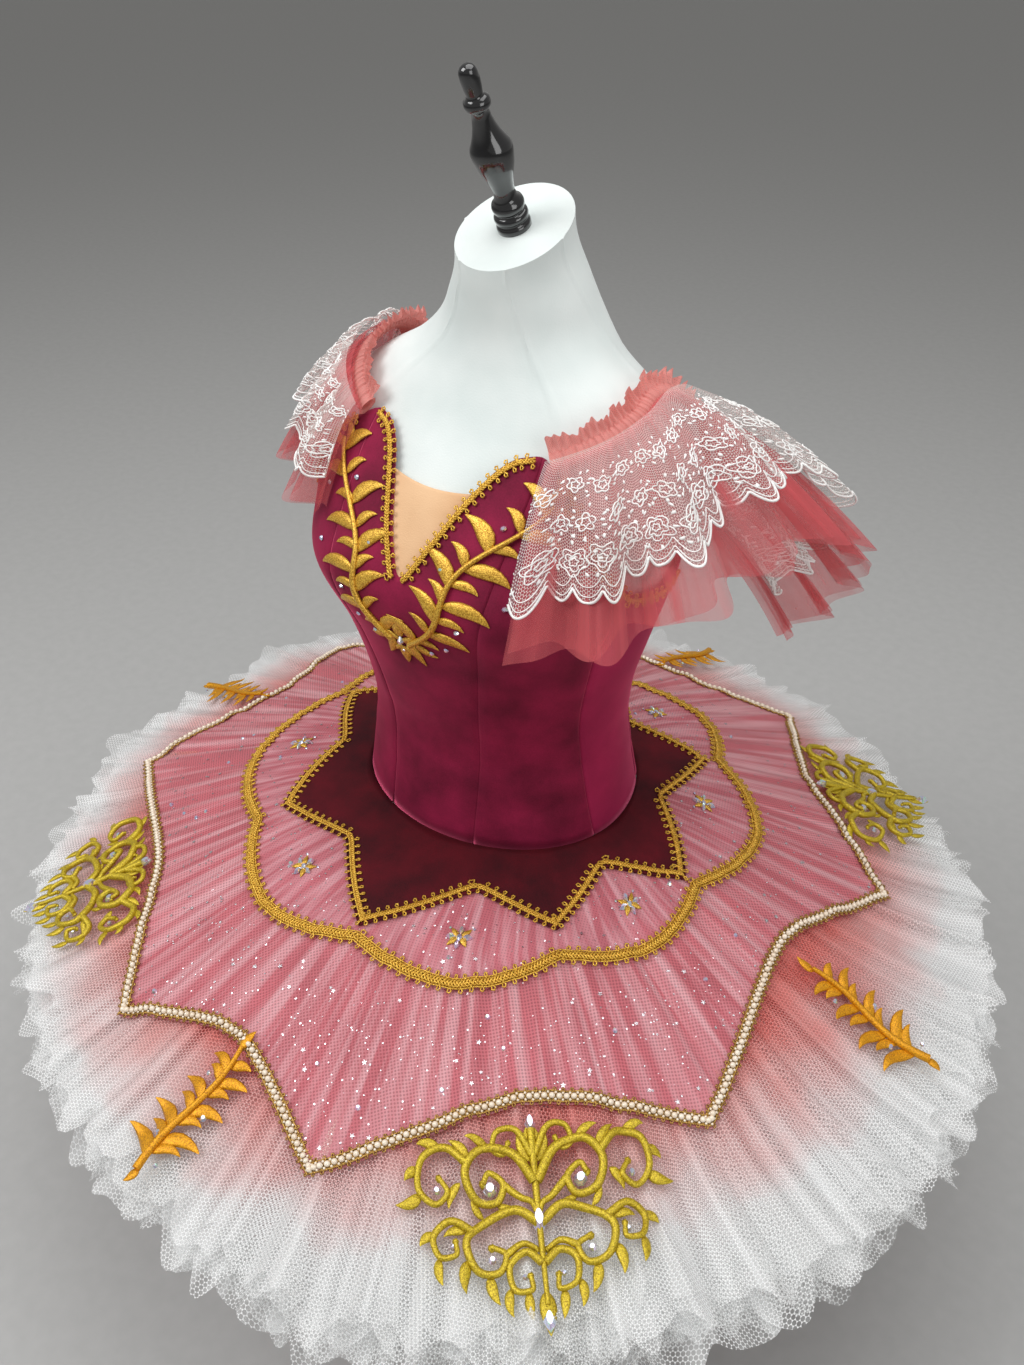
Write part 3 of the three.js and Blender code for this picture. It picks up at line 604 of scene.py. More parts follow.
@dataclass
class Body:
    """The dress form's outer shape, which all close-fitting pieces are laid on.

    A turn is in degrees from the centre front towards the wearer's left; up is millimetres from the waist.
    """

    ups: tuple = (-220, -155, -97, -35, 0, 45, 95, 155, 195, 225, 255, 280, 303, 322, 345, 370, 395, 420)
    half: tuple = (150, 146, 131, 124, 122, 127, 141, 159, 167, 174, 173, 160, 130, 97, 74, 61, 51, 49)
    front: tuple = (112, 114, 108, 101, 99, 105, 116, 129, 117, 103, 86, 71, 62, 57, 54, 51, 50, 49)
    back: tuple = (128, 136, 130, 110, 103, 105, 111, 118, 124, 121, 109, 94, 79, 73, 68, 60, 52, 50)
    centre: tuple = (12, 12, 12, 14, 14, 12, 11, 11, 14, 19, 26, 32, 38, 42, 43, 40, 37, 35)
    bust_turn: float = 36.0
    bust_up: float = 160.0
    bust_rise: float = 11.0
    bust_spread: float = 24.0
    bust_height: float = 46.0
    lean_start: float = 325.0
    lean_span: float = 100.0
    lean: float = math.tan(math.radians(27.0))

    def bare(self, turn: Array, up: Array) -> Array:
        """Points on the bare surface, in millimetres."""
        turn, up = np.broadcast_arrays(np.asarray(turn, float), np.asarray(up, float))
        angle = np.radians(turn)
        depth = np.where(np.cos(angle) > 0, catmull(self.ups, self.front, up), catmull(self.ups, self.back, up))
        x = catmull(self.ups, self.half, up) * np.sin(angle)
        y = -depth * np.cos(angle)
        rise = sum(self.bust_rise * np.exp(-((wrapped(turn) - side * self.bust_turn) / self.bust_spread) ** 2
                                           - ((up - self.bust_up) / self.bust_height) ** 2) for side in (-1, 1))
        length = np.maximum(np.hypot(x, y), 1e-6)
        x, y = x * (1 + rise / length), y * (1 + rise / length)
        slope = np.clip((up - self.lean_start) / self.lean_span, 0, 1) * self.lean
        return np.stack([np.clip(x, -ARM_PLATE, ARM_PLATE), y + catmull(self.ups, self.centre, up),
                         WAIST + up + slope * y], axis=-1)

    def normal(self, turn: Array, up: Array) -> Array:
        """Outward directions of the surface."""
        across = self.bare(np.asarray(turn) + 1.0, up) - self.bare(np.asarray(turn) - 1.0, up)
        along = self.bare(turn, np.asarray(up) + 2.0) - self.bare(turn, np.asarray(up) - 2.0)
        return unit(np.cross(across, along))

    def point(self, turn: Array, up: Array, lift: Array = 0.0) -> Array:
        """Points lifted off the surface along its normal, in millimetres."""
        return self.bare(turn, up) + self.normal(turn, up) * np.asarray(lift, float)[..., None]

    def radius(self, turn: float, up: float) -> float:
        """Distance of a surface point from the form's axis."""
        spot = self.bare(np.array([turn]), np.array([up]))[0]
        return float(math.hypot(spot[0], spot[1]))

    def local(self, turn: float, up: float) -> Laid:
        """A flat drawing board on the body: x across and y up, in millimetres, from one spot.

        Args:
            turn: Turn of the board's origin.
            up: Height of the board's origin.

        Returns:
            A function of x, y and lift that gives points.
        """
        radius = self.radius(turn, up)
        return lambda x, y, lift: self.point(turn + np.degrees(x / radius), up + y, lift)


@dataclass(frozen=True)
class Layer:
    """How far a skirt layer lies below the velvet's top at three rings, and where its edge hangs."""

    inner: float
    hinge: float
    drop: float
    reach: float = 1.0
    edge: Optional[float] = None


STAR_LAYER = Layer(0.0, 0.0, 0.0)
PETAL_LAYER = Layer(1.6, 1.6, 1.6)
OVERLAY_LAYER = Layer(3.2, 3.2, 3.2)
NET_LAYERS = (
    Layer(4.8, 4.8, 4.8, 1.0, 318.0),
    Layer(7.6, 9.0, 12.0, 1.014, 307.0),
    Layer(10.4, 13.4, 20.0, 1.004, 295.0),
    Layer(13.2, 18.0, 29.0, 1.018, 283.0),
    Layer(16.0, 23.0, 39.0, 0.99, 270.0),
)


@dataclass
class Outline:
    """A pointed edge: reach at each tip, and at the hollow that follows it."""

    power: float
    rows: tuple

    def reach(self, turn: Array) -> Array:
        """Reach of the edge at any turn."""
        turns, reaches = [], []
        count = len(self.rows)
        shares = np.linspace(0, 1, 24, endpoint=False)
        for i, (tip_turn, tip, low_turn, low) in enumerate(self.rows):
            next_turn, next_tip = self.rows[(i + 1) % count][:2]
            next_turn += 360 if i == count - 1 else 0
            turns += list(tip_turn + (low_turn - tip_turn) * shares)
            turns += list(low_turn + (next_turn - low_turn) * shares)
            reaches += list(low + (tip - low) * (1 - shares) ** self.power)
            reaches += list(low + (next_tip - low) * shares ** self.power)
        return np.interp(np.asarray(turn, float), turns, reaches, period=360)

    def turns(self, steps: int) -> Array:
        """Turns round the edge that land on every tip and hollow."""
        marks = [mark for row in self.rows for mark in (row[0], row[2])]
        marks.append(marks[0] + 360)
        return np.concatenate([np.linspace(a, b, steps, endpoint=False) for a, b in zip(marks, marks[1:])])


STAR = Outline(1.25, (
    (6, 219, 29, 157), (52, 205, 71, 163), (89, 219, 113, 168), (136, 219, 158, 168),
    (180, 216, 202, 166), (223, 214, 242, 166), (262, 219, 290, 166), (318, 203, 342, 160)))
PETALS = Outline(1.5, (
    (7, 232, 30, 250), (52, 231, 71, 250), (90, 232, 114, 262), (137, 234, 156, 259),
    (180, 232, 202, 255), (223, 232, 244, 254), (262, 232, 294, 252), (319, 231, 344, 254)))
OVERLAY = Outline(1.7, (
    (17, 405, 42, 335), (64, 384, 92, 314), (113, 388, 136, 336), (156, 388, 176, 330),
    (201, 390, 224, 336), (247, 392, 265, 333), (290, 397, 318, 329), (342, 391, 358, 341)))


@dataclass
class SkirtShape:
    """The plate-like fall of the skirt, shared by all its layers.

    Reach is millimetres from the form's axis.
    """

    body: Body
    top_inner: float = 420.0
    top_hinge: float = 407.0
    top_drop: float = 336.0
    hinge: float = 220.0
    drop: float = 410.0
    ring_lift: float = 2.8
    reach_turns: tuple = (0, 20, 45, 80, 110, 140, 180, 225, 265, 315, 360)
    reaches: tuple = (462, 490, 500, 500, 484, 460, 450, 456, 460, 452, 462)

    def net_reach(self, turn: Array) -> Array:
        """Reach of the first net's edge."""
        return np.interp(np.mod(turn, 360.0), self.reach_turns, self.reaches)

    def ring(self, turn: Array, layer: Layer) -> Array:
        """Points where a layer meets the yoke."""
        up = self.top_inner - layer.inner - WAIST
        return self.body.point(turn, np.full(np.shape(turn), up), self.ring_lift)

    def inner_reach(self, turn: Array, layer: Layer) -> Array:
        """Reach of the ring where a layer meets the yoke."""
        ring = self.ring(turn, layer)
        return np.hypot(ring[..., 0], ring[..., 1])

    def swell(self, turn: Array, reach: Array) -> Array:
        """Slow uneven rise and fall that all layers share."""
        angle = np.radians(turn)
        share = np.clip((reach - 190.0) / 270.0, 0, 1.2) ** 1.4
        slow = 2.8 * np.sin(9 * angle + 0.6) + 2.2 * np.sin(14 * angle + 2.1) + 1.6 * np.sin(23 * angle + 0.3)
        bend = 0.5 * np.sin(5 * angle + 1.0)
        pleats = (1.5 * np.sin(46 * angle + bend) + 1.2 * np.sin(67 * angle + 2 * bend)
                  + 0.7 * np.sin(103 * angle + 3.0))
        start = np.clip((reach - 165.0) / 90.0, 0, 1)
        return share * slow + start * (0.35 + 0.65 * np.clip(share, 0, 1)) * pleats

    def height(self, turn: Array, reach: Array, layer: Layer, inner: Array) -> Array:
        """Height of a layer's top, with its bends rounded."""
        edge_reach = self.net_reach(turn) * layer.reach
        edge = self.top_drop - layer.drop - 0.2 * (edge_reach - self.drop) if layer.edge is None else layer.edge
        total = 0.0
        offsets = (-16.0, -8.0, 0.0, 8.0, 16.0)
        for offset in offsets:
            r = np.clip(reach + offset, inner, edge_reach + 16.0)
            first = np.clip((r - inner) / np.maximum(self.hinge - inner, 1.0), 0, 1)
            second = np.clip((r - self.hinge) / (self.drop - self.hinge), 0, 1)
            third = np.maximum(r - self.drop, 0) / np.maximum(edge_reach - self.drop, 1.0)
            low, mid = self.top_inner - layer.inner, self.top_hinge - layer.hinge
            far = self.top_drop - layer.drop
            total = total + low + (mid - low) * first + (far - mid) * second + (edge - far) * third
        return total / len(offsets)

    def point(self, turn: Array, reach: Array, layer: Layer, lift: Array = 0.0) -> Array:
        """Points of a layer, in millimetres."""
        turn, reach = np.broadcast_arrays(np.asarray(turn, float), np.asarray(reach, float))
        angle = np.radians(turn)
        out = np.stack([np.sin(angle), -np.cos(angle)], axis=-1)
        ring = self.ring(turn, layer)
        inner = np.hypot(ring[..., 0], ring[..., 1])
        share = np.clip((reach - inner) / (self.hinge - inner), 0, 1)[..., None]
        near = ring[..., :2] * (1 - share) + out * self.hinge * share
        plan = np.where((reach >= self.hinge)[..., None], out * reach[..., None], near)
        z = self.height(turn, reach, layer, inner) + self.swell(turn, reach) + lift
        return np.concatenate([plan, z[..., None]], axis=-1)

    def local(self, turn: float, reach: float, layer: Layer, size: float = 1.0) -> Laid:
        """A flat drawing board on a layer: x across and y inwards, in millimetres, from one spot."""

        def laid(x: Array, y: Array, lift: Array) -> Array:
            out = reach - np.asarray(y) * size
            return self.point(turn + np.degrees(np.asarray(x) * size / out), out, layer, lift)

        return laid


# ------------------------------------------------------------------------- the form


@dataclass
class DressForm:
    """Limbless form: padded torso under a smooth jersey, turned finial, pole and round base."""

    body: Body
    clearance: float = 4.0
    top: float = 412.0
    bottom: float = -220.0
    columns: int = 180
    rows: int = 110
    seam_turns: tuple = (38.0, -38.0, 118.0, -118.0)
    profile: tuple = (
        (0, 13.5), (3.4, 13.5), (4.4, 12.6), (6, 11), (7.2, 11.6), (8, 13), (10, 13.5), (12, 13), (13, 11.6),
        (14, 10.5), (15.5, 11.4), (17, 12.5), (19.5, 12.8), (22, 12), (24, 9.8), (26, 8.7), (30, 8.2),
        (34, 8.5), (40, 10),
        (46, 12), (53, 14.2), (60, 15.5), (63, 15.9), (66, 15.8), (69, 14.8), (72, 13), (78, 10.4), (84, 8.5),
        (90, 7.2), (95, 6.5), (96, 7.6), (98, 9.5), (100.5, 9.9), (103, 9.5), (105, 7.2), (106, 6), (108, 6.2),
        (112, 6.8), (118, 7.1), (123, 6.8), (125.5, 5.8), (127, 4.5), (128, 2.4))

    def build(self) -> None:
        """Builds the torso, finial and stand."""
        self.torso()
        self.finial()
        self.stand()

    def torso(self) -> None:
        """The torso's skin: raised sewn seams run from the neck over the shoulders and down."""

        def place(u: Array, v: Array) -> Array:
            turn = u * 360.0
            up = self.bottom + (self.top - self.bottom) * v
            ridge = sum(np.exp(-(wrapped(turn - seam * (1 - 0.25 * np.clip((up - 250) / 150, 0, 1))) / 1.3) ** 2)
                        for seam in self.seam_turns)
            return self.body.point(turn, up, 1.3 * ridge * np.clip((up + 120) / 60, 0, 1) - self.clearance)

        mesh = cloth_mesh("torso", self.columns, self.rows, place, (0.9, 0.63), ring=True)
        skin = bmesh.new()
        skin.from_mesh(mesh)
        rims = [edge for edge in skin.edges if edge.is_boundary]
        bmesh.ops.holes_fill(skin, edges=rims)
        bmesh.ops.triangulate(skin, faces=[face for face in skin.faces if len(face.verts) > 8])
        bmesh.ops.recalc_face_normals(skin, faces=skin.faces)
        skin.to_mesh(mesh)
        skin.free()
        cover = SolidCloth("smooth cotton jersey", "#e3e9e7", "#d3dcda", thread_mm=1.4, bump=0.18, sheen=0.15)
        torso = attach(new_object("torso_cover", mesh, cover.make()), "form_cover", "form_torso")
        torso.data.set_sharp_from_angle(angle=math.radians(50))

    def cap(self) -> tuple[Vector, float]:
        """Middle of the neck cap and its slope."""
        ring = self.body.point(np.array([0.0, 180.0]), np.full(2, self.top), -self.clearance)
        middle = Vector(ring.mean(axis=0) * MM)
        fall = ring[1] - ring[0]
        return middle, math.atan2(fall[2], fall[1])

    def finial(self) -> None:
        """The finial, spun from its turned profile."""
        wood = bmesh.new()
        points = [wood.verts.new((radius * MM, 0.0, up * MM)) for up, radius in self.profile]
        for low, high in zip(points, points[1:]):
            wood.edges.new((low, high))
        bmesh.ops.spin(wood, geom=wood.verts[:] + wood.edges[:], cent=(0, 0, 0), axis=(0, 0, 1),
                       angle=2 * math.pi, steps=48, use_merge=True)
        bmesh.ops.remove_doubles(wood, verts=wood.verts, dist=1e-6)
        bmesh.ops.holes_fill(wood, edges=[edge for edge in wood.edges if edge.is_boundary])
        bmesh.ops.recalc_face_normals(wood, faces=wood.faces)
        middle, lean = self.cap()
        place = Matrix.Translation(middle) @ Matrix.Rotation(lean, 4, "X") @ Matrix.Translation((0, 0, 0.3 * MM))
        bmesh.ops.transform(wood, matrix=place, verts=wood.verts)
        lacquer = Polished("black gloss lacquer on turned beech", "#0b0b0d", 0.16, coat=1.0, tint="#111114")
        finial = new_object("turned_finial", from_bmesh("finial", wood), lacquer.make())
        attach(finial, "turned_wood", "form_finial")

    @staticmethod
    def bar(node: str, segments: int) -> tuple[bmesh.types.BMesh, float, float, float]:
        """A round bar that fills a solid's box, with its radius and the heights of its foot and head."""
        low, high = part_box(node)
        radius = (high[0] - low[0]) / 2
        work = bmesh.new()
        bmesh.ops.create_cone(work, cap_ends=True, segments=segments, radius1=radius, radius2=radius,
                              depth=high[2] - low[2])
        bmesh.ops.translate(work, verts=work.verts, vec=(0, 0, (high[2] + low[2]) / 2))
        return work, radius, low[2], high[2]

    def stand(self) -> None:
        """The round base and the pole, with a collar where they meet."""
        disc, _, _, head = self.bar("stand_base", 96)
        rim = [edge for edge in disc.edges if all(v.co.z > head - MM for v in edge.verts)]
        bmesh.ops.bevel(disc, geom=rim, offset=3 * MM, offset_type="OFFSET", affect="EDGES", segments=3,
                        profile=0.5, material=-1)
        tube, radius, foot, _ = self.bar("stand_pole", 48)
        depth = 16 * MM
        collar = bmesh.ops.create_cone(tube, cap_ends=True, segments=48, radius1=2.1 * radius,
                                       radius2=1.5 * radius, depth=depth)
        bmesh.ops.translate(tube, verts=collar["verts"], vec=(0, 0, foot + depth / 2))
        satin = Polished("satin black powder coat on steel", "#141416", 0.42, tint="#1b1b1e").make()
        for name, work, node in (("round_base", disc, "stand_base"), ("stand_tube", tube, "stand_pole")):
            piece = attach(new_object(name, from_bmesh(name, work), satin), "stand_metal", node)
            piece.data.set_sharp_from_angle(angle=math.radians(40))


# ------------------------------------------------------------------------ the bodice


@dataclass
class Bodice:
    """Seven velvet panels between sewn seams, with a nude mesh V at the front.

    A seam is a row of heights and a row of turns. Cuts are widths in metres.
    """

    body: Body
    bottom: float = 420.3 - WAIST
    edge_turns: tuple = (0, 6, 11, 16, 21, 29, 40, 56, 72, 90, 115, 140, 150, 165, 180)
    edge_ups: tuple = (172, 204, 235, 257, 268, 273, 256, 209, 176, 167, 180, 212, 217, 204, 198)
    princess: tuple = ((-97, 0, 115, 274), (21, 23, 26, 29))
    side_seam: tuple = ((-97, -40, 25, 115, 176), (76, 71, 67, 65, 70))
    back_seam: tuple = ((-97, 0, 190), (120, 116, 118))
    middle_back: tuple = ((-97, 190), (180, 180))
    seam_dip: float = 1.1
    seam_width: float = 3.0
    centre_cut: float = 0.17
    side_cut: float = 0.13
    insert_cut: float = 0.065
    insert_foot: float = 169.0
    insert_height: float = 74.0
    insert_dip: float = 4.0
    insert_tuck: float = 1.6

    def top(self, turn: Array) -> Array:
        """Height of the upper edge, with its corners eased."""
        away = np.abs(wrapped(turn))
        steps = (-1.5, 0.0, 1.5)
        return sum(np.interp(np.abs(away + step), self.edge_turns, self.edge_ups) for step in steps) / len(steps)

    def build(self) -> None:
        """Cuts all the panels and the insert."""
        velvet = Velvet("burgundy stretch velvet", "#5c0626", "#941842", "#ff6a92").make()
        # Painted sheen: the side panels take a lighter copy of the same burgundy velvet.
        lightened = Velvet("burgundy stretch velvet brushed up", "#8a1440", "#a8204f", "#ff7aa0").make()
        princess, side, back, middle = self.princess, self.side_seam, self.back_seam, self.middle_back
        self.panel("front_centre", self.mirrored(princess), princess, 60, velvet)
        for letter, flip in (("left", 1), ("right", -1)):
            self.panel(f"front_side_{letter}", princess, side, 40, velvet, flip)
            self.panel(f"side_{letter}", side, back, 40, lightened, flip)
            self.panel(f"back_{letter}", back, middle, 44, velvet, flip)
        self.insert()

    @staticmethod
    def mirrored(seam: tuple) -> tuple:
        """A seam's twin on the wearer's right."""
        return seam[0], tuple(-turn for turn in seam[1])

    def creases(self, turn: Array, up: Array) -> Array:
        """Soft uneven drag lines at the waist and under the bust."""
        t = np.radians(wrapped(turn))

        def line(middle: Array, width: float, waves: float, start: float) -> Array:
            return np.exp(-((up + middle) / width) ** 2) * (0.5 + 0.5 * np.sin(waves * t + start))

        return (-0.9 * line(18 - 8 * np.sin(2.3 * t), 7.0, 5.1, 0.7)
                - 0.7 * line(-12 - 10 * np.sin(1.7 * t + 1.0), 9.0, 3.7, 2.0)
                - 0.8 * line(52 + 6 * np.sin(3.1 * t), 8.0, 4.3, 4.0))

    def panel(self, name: str, first: tuple, last: tuple, columns: int, finish: bpy.types.Material,
              flip: int = 1) -> None:
        """One panel between two seams, rolled down to the stitching at each side.

        Args:
            name: The panel's name after bodice_.
            first: Heights and turns of the seam at its start.
            last: Heights and turns of the seam at its end.
            columns: Squares across.
            finish: The velvet.
            flip: 1 on the wearer's left, -1 on the right.
        """
        bust = self.body.bust_up

        def turn_at(u: Array, up: Array) -> Array:
            from_turn, to_turn = np.interp(up, *first), np.interp(up, *last)
            return from_turn + (to_turn - from_turn) * u

        def place(u: Array, v: Array) -> Array:
            guess = self.top(turn_at(u, np.full(u.shape, bust)))
            top = self.top(turn_at(u, guess))
            up = self.bottom + (top - self.bottom) * v ** 0.85
            turn = turn_at(u, up)
            reach = np.hypot(*self.body.bare(turn, up)[:, :2].T)
            span = np.abs(np.interp(up, *last) - np.interp(up, *first))
            aside = np.radians(np.minimum(u, 1 - u) * span) * reach
            dip = self.seam_dip * np.exp(-(aside / self.seam_width) ** 2)
            roll = 0.8 * np.exp(-((top - up) / 3.0) ** 2)
            lift = CLOTH + 1.3 - dip - roll + self.creases(turn * flip, up)
            return self.body.point(turn * flip, up, lift)

        mesh = cloth_mesh(name, columns, 56, place, (0.12, 0.3))
        if flip < 0:
            mesh.flip_normals()
        panel = new_object(f"velvet_{name}", mesh, finish)
        thicken(panel, 1.2 * MM)
        attach(panel, "velvet", f"bodice_{name}")

    def insert(self) -> None:
        """The mesh that fills the V, drawn up to a soft upper edge."""

        def place(u: Array, v: Array) -> Array:
            across = 2 * u - 1
            bow = 1 - across ** 2
            up = self.insert_foot + self.insert_height * v - self.insert_dip * bow * v
            half = np.interp(up, self.edge_ups[:5], self.edge_turns[:5]) + self.insert_tuck
            return self.body.point(across * half, up, 0.7 + 0.5 * np.sin(v * 9.0) * bow)

        finish = SolidCloth("nude power mesh", "#e6bd93", "#d3a478", thread_mm=1.2, bump=0.35, sheen=0.3).make()
        piece = new_object("nude_insert", cloth_mesh("insert", 40, 40, place, (0.07, 0.08)), finish)
        thicken(piece, 0.6 * MM)
        attach(piece, "nude_mesh", "v_insert")


# ------------------------------------------------------------------------- the skirt


@dataclass
class Skirt:
    """Yoke, five gathered nets, two glitter overlays and the star basque, from the bottom up.

    Cuts are widths in metres. Waves are the least and most flutes round the edge, with their size.
    """

    shape: SkirtShape
    seed: int = 11
    yoke_cut: float = 0.075
    net_cut: float = 0.62
    waves: tuple = ((16, 26, 0.9), (38, 56, 1.1), (70, 98, 0.8), (7, 12, 0.9))
    yoke_foot: float = -158.0
    ply_drop: float = 4.0
    edge_drop: float = 14.0
    calm_reach: float = 452.0

    def build(self) -> None:
        """Builds every layer."""
        self.yoke()
        for number, layer in enumerate(NET_LAYERS):
            self.net(number, layer)
        pink = OpenNet("pink glitter tulle", "#de7d88", pitch_mm=2.6, weave=Weave.DIAMOND, cover=0.5, veil=0.6,
                       glitter=0.05, streak_colour="#f0b9c0", streaks_each_m=(90.0, 4.0, 1.0)).make()
        self.overlay("outer_tulle", OVERLAY, OVERLAY_LAYER, pink, "pink_tulle", "outer_overlay", 18, 1.0)
        petal = OpenNet("pink glitter tulle in two layers", "#dc7c88", pitch_mm=2.6, weave=Weave.DIAMOND,
                        cover=0.9, veil=0.75, glitter=0.07, turn=0.4, streak_colour="#edb2ba",
                        streaks_each_m=(90.0, 5.0, 1.0)).make()
        self.overlay("petal_tulle", PETALS, PETAL_LAYER, petal, "pink_tulle", "petal_overlay", 12, 0.8)
        # Painted shade: the star is cut from the bodice's velvet, coloured darker for its pile lying face up.
        wine_in_painted_shade = Velvet("deep wine velvet", "#30010a", "#5e0416", "#c8102e", sheen=0.12).make()
        self.overlay("star_velvet", STAR, STAR_LAYER, wine_in_painted_shade, "dark_velvet", "basque_star", 12, 0.4,
                     thickness=1.0)

    def yoke(self) -> None:
        """The plain yoke that the nets are sewn to."""

        def place(u: Array, v: Array) -> Array:
            up = self.yoke_foot + (self.shape.top_inner - 0.6 - WAIST - self.yoke_foot) * v
            return self.shape.body.point(360.0 * u, up, 1.0 + 0.3 * np.sin(np.radians(360 * u) * 40) * (1 - v))

        finish = SolidCloth("white cotton yoke", "#eceeee", "#dadedf", thread_mm=1.4).make()
        piece = new_object("cotton_yoke", cloth_mesh("yoke", 160, 12, place, (0.88, 0.064), ring=True), finish)
        thicken(piece, 1.0 * MM)
        attach(piece, "white_net", "hip_yoke")

    def net(self, number: int, layer: Layer) -> None:
        """One gathered net of two layers: fine flutes that grow outwards to an uneven cut edge."""
        draws = random.Random(self.seed + number)
        sheets = []
        for ply in range(2):
            waves = [(draws.randint(low, high), draws.uniform(0, 6.28), size) for low, high, size in self.waves]
            lift = -self.ply_drop * ply

            def place(u: Array, v: Array, waves: list = waves, lift: float = lift, ply: int = ply) -> Array:
                turn = u * 360.0
                angle = np.radians(turn)
                sway = 0.8 * np.sin(waves[3][0] * angle + waves[0][1])
                wave = sum(size * np.sin(count * angle + start + sway) for count, start, size in waves)
                ragged = sum(size * np.sin((count + 3) * angle + 2 * start - sway)
                             for count, start, size in waves)
                inner = self.shape.inner_reach(turn, layer)
                edge = self.shape.net_reach(turn) * layer.reach + 6.0 * ragged - self.edge_drop * ply - 3.0
                reach = inner + (edge - inner) * v
                grow = np.clip((reach - 215.0) / 250.0, 0, 1)
                calm = 0.35 if number == 0 else 1.0
                free = calm + (1 - calm) * np.clip((reach - self.calm_reach) / 30.0, 0, 1)
                flute = wave * (0.6 + 4.8 * grow ** 1.5) * free
                point = self.shape.point(turn, reach, layer, flute + lift)
                side = np.stack([np.cos(angle), np.sin(angle), 0 * angle], axis=-1)
                return point + side * (3.2 * grow * np.cos(waves[1][0] * angle + waves[1][1] + sway))[:, None]

            sheets.append(cloth_mesh("net", 760, 12, place, (3.2, 0.36), ring=True))
        dyed = number < 3
        finish = OpenNet(f"stiff white net {number + 1}", "#f3f4f4", pitch_mm=3.1 + 0.15 * number, cover=-0.8,
                         inner_colour="#e9877f" if dyed else "#f0d5d6", veil=0.02 if dyed else 0.07,
                         streak_veil=0.46, streaks_each_m=(75.0, 2.0, 1.0), turn=0.35 * number,
                         inner_reach=0.33, outer_reach=0.44).make()
        piece = new_object(f"gathered_net_{number + 1}", joined("nets", sheets), finish)
        attach(piece, "white_net", f"net_{number + 1}")

    def overlay(self, name: str, outline: Outline, layer: Layer, finish: bpy.types.Material, slot: str,
                node: str, rows: int, ripple: float, thickness: float = 0.0) -> None:
        """A star-edged layer from the yoke to its outline, with faint puckers that run outwards.

        Args:
            name: The piece's name.
            outline: Its edge.
            layer: How low it lies.
            finish: Its cloth.
            slot: The record's material slot; not used.
            node: The solid it stands for.
            rows: Squares from the yoke to the edge.
            ripple: Strength of the puckers.
            thickness: Thickness in millimetres, or zero for a cloth too thin to need one.
        """

        def place(u: Array, v: Array) -> Array:
            turn = u * 360.0 + outline.rows[0][0]
            inner = self.shape.inner_reach(turn, layer)
            reach = inner + (outline.reach(turn) - inner) * v
            angle = np.radians(turn)
            pucker = np.sin(47 * angle + 0.4) + 0.7 * np.sin(71 * angle + 1.9) + 0.6 * np.sin(31 * angle + 5.0)
            lift = 0.35 * ripple * pucker * np.sin(math.pi * np.clip(v, 0, 1)) + 0.9
            return self.shape.point(turn, reach, layer, lift)

        piece = new_object(name, cloth_mesh(name, 800, rows, place, (2.0, 0.25), ring=True), finish)
        if thickness:
            thicken(piece, thickness * MM)
        attach(piece, slot, node)


# ----------------------------------------------------------------- stage and camera


@dataclass
class Viewpoint:
    """The camera: above and in front of the wearer's left side, looking down on the skirt."""

    azimuth: float = 37.9
    elevation: float = 42.22
    distance: float = 1.240
    aim_height: float = 0.340
    yaw: float = -0.99
    pitch: float = 7.10
    roll: float = 0.89
    lens: float = 32.13

    def build(self) -> None:
        """Places the scene's camera."""
        a, e = math.radians(self.azimuth), math.radians(self.elevation)
        back = Vector((math.sin(a) * math.cos(e), -math.cos(a) * math.cos(e), math.sin(e)))
        forward = -back
        right = forward.cross(Vector((0, 0, 1))).normalized()
        up = right.cross(forward)
        for angle, axis in ((self.yaw, "up"), (self.pitch, "right"), (self.roll, "forward")):
            about = {"up": up, "right": right, "forward": forward}[axis].copy()
            turn = Matrix.Rotation(math.radians(angle), 3, about)
            forward, right, up = turn @ forward, turn @ right, turn @ up
        data = bpy.data.cameras.new("camera")
        data.sensor_width = 36.0
        data.lens = self.lens
        camera = bpy.data.objects.new("camera", data)
        spot = Vector((0, 0, self.aim_height)) + back * self.distance
        aim = Matrix((right, up, -forward)).transposed().to_4x4()
        camera.matrix_world = Matrix.Translation(spot) @ aim
        bpy.context.scene.collection.objects.link(camera)
        bpy.context.scene.camera = camera


@dataclass
class Studio:
    """Plain pale floor, soft overhead light and a dim even surround."""

    floor_size: float = 80.0

    def build(self) -> None:
        """Builds the floor, the lights and the surround."""
        ground = bmesh.new()
        bmesh.ops.create_grid(ground, x_segments=1, y_segments=1, size=self.floor_size / 2)
        paint = Polished("pale painted floor", "#b4b4b3", 0.8, tint="#b0b0af").make()
        new_object("floor", from_bmesh("floor", ground), paint)
        self.lamp("key", (-1.2, -1.6, 2.6), 1.6, 46.0)
        self.lamp("overhead", (0.3, 0.2, 2.8), 2.2, 34.0)
        self.lamp("side", (2.4, -0.8, 1.6), 1.4, 16.0)
        world = bpy.data.worlds.new("surround")
        bpy.context.scene.world = world
        world.use_nodes = True
        glow = world.node_tree.nodes["Background"].inputs
        glow["Color"].default_value = linear("#dad9d7")
        glow["Strength"].default_value = 0.45
        bpy.context.scene.view_settings.view_transform = "Standard"
        bpy.context.scene.cycles.transparent_max_bounces = 32

    def lamp(self, name: str, place: tuple[float, float, float], size: float, power: float) -> None:
        """A square soft light aimed at the skirt's middle."""
        data = bpy.data.lights.new(name, "AREA")
        data.size = size
        data.energy = power
        lamp = bpy.data.objects.new(name, data)
        lamp.location = place
        lamp.rotation_euler = (Vector((0, 0, 0.5)) - Vector(place)).to_track_quat("-Z", "Y").to_euler()
        bpy.context.scene.collection.objects.link(lamp)


# ------------------------------------------------------------------ trims and stones


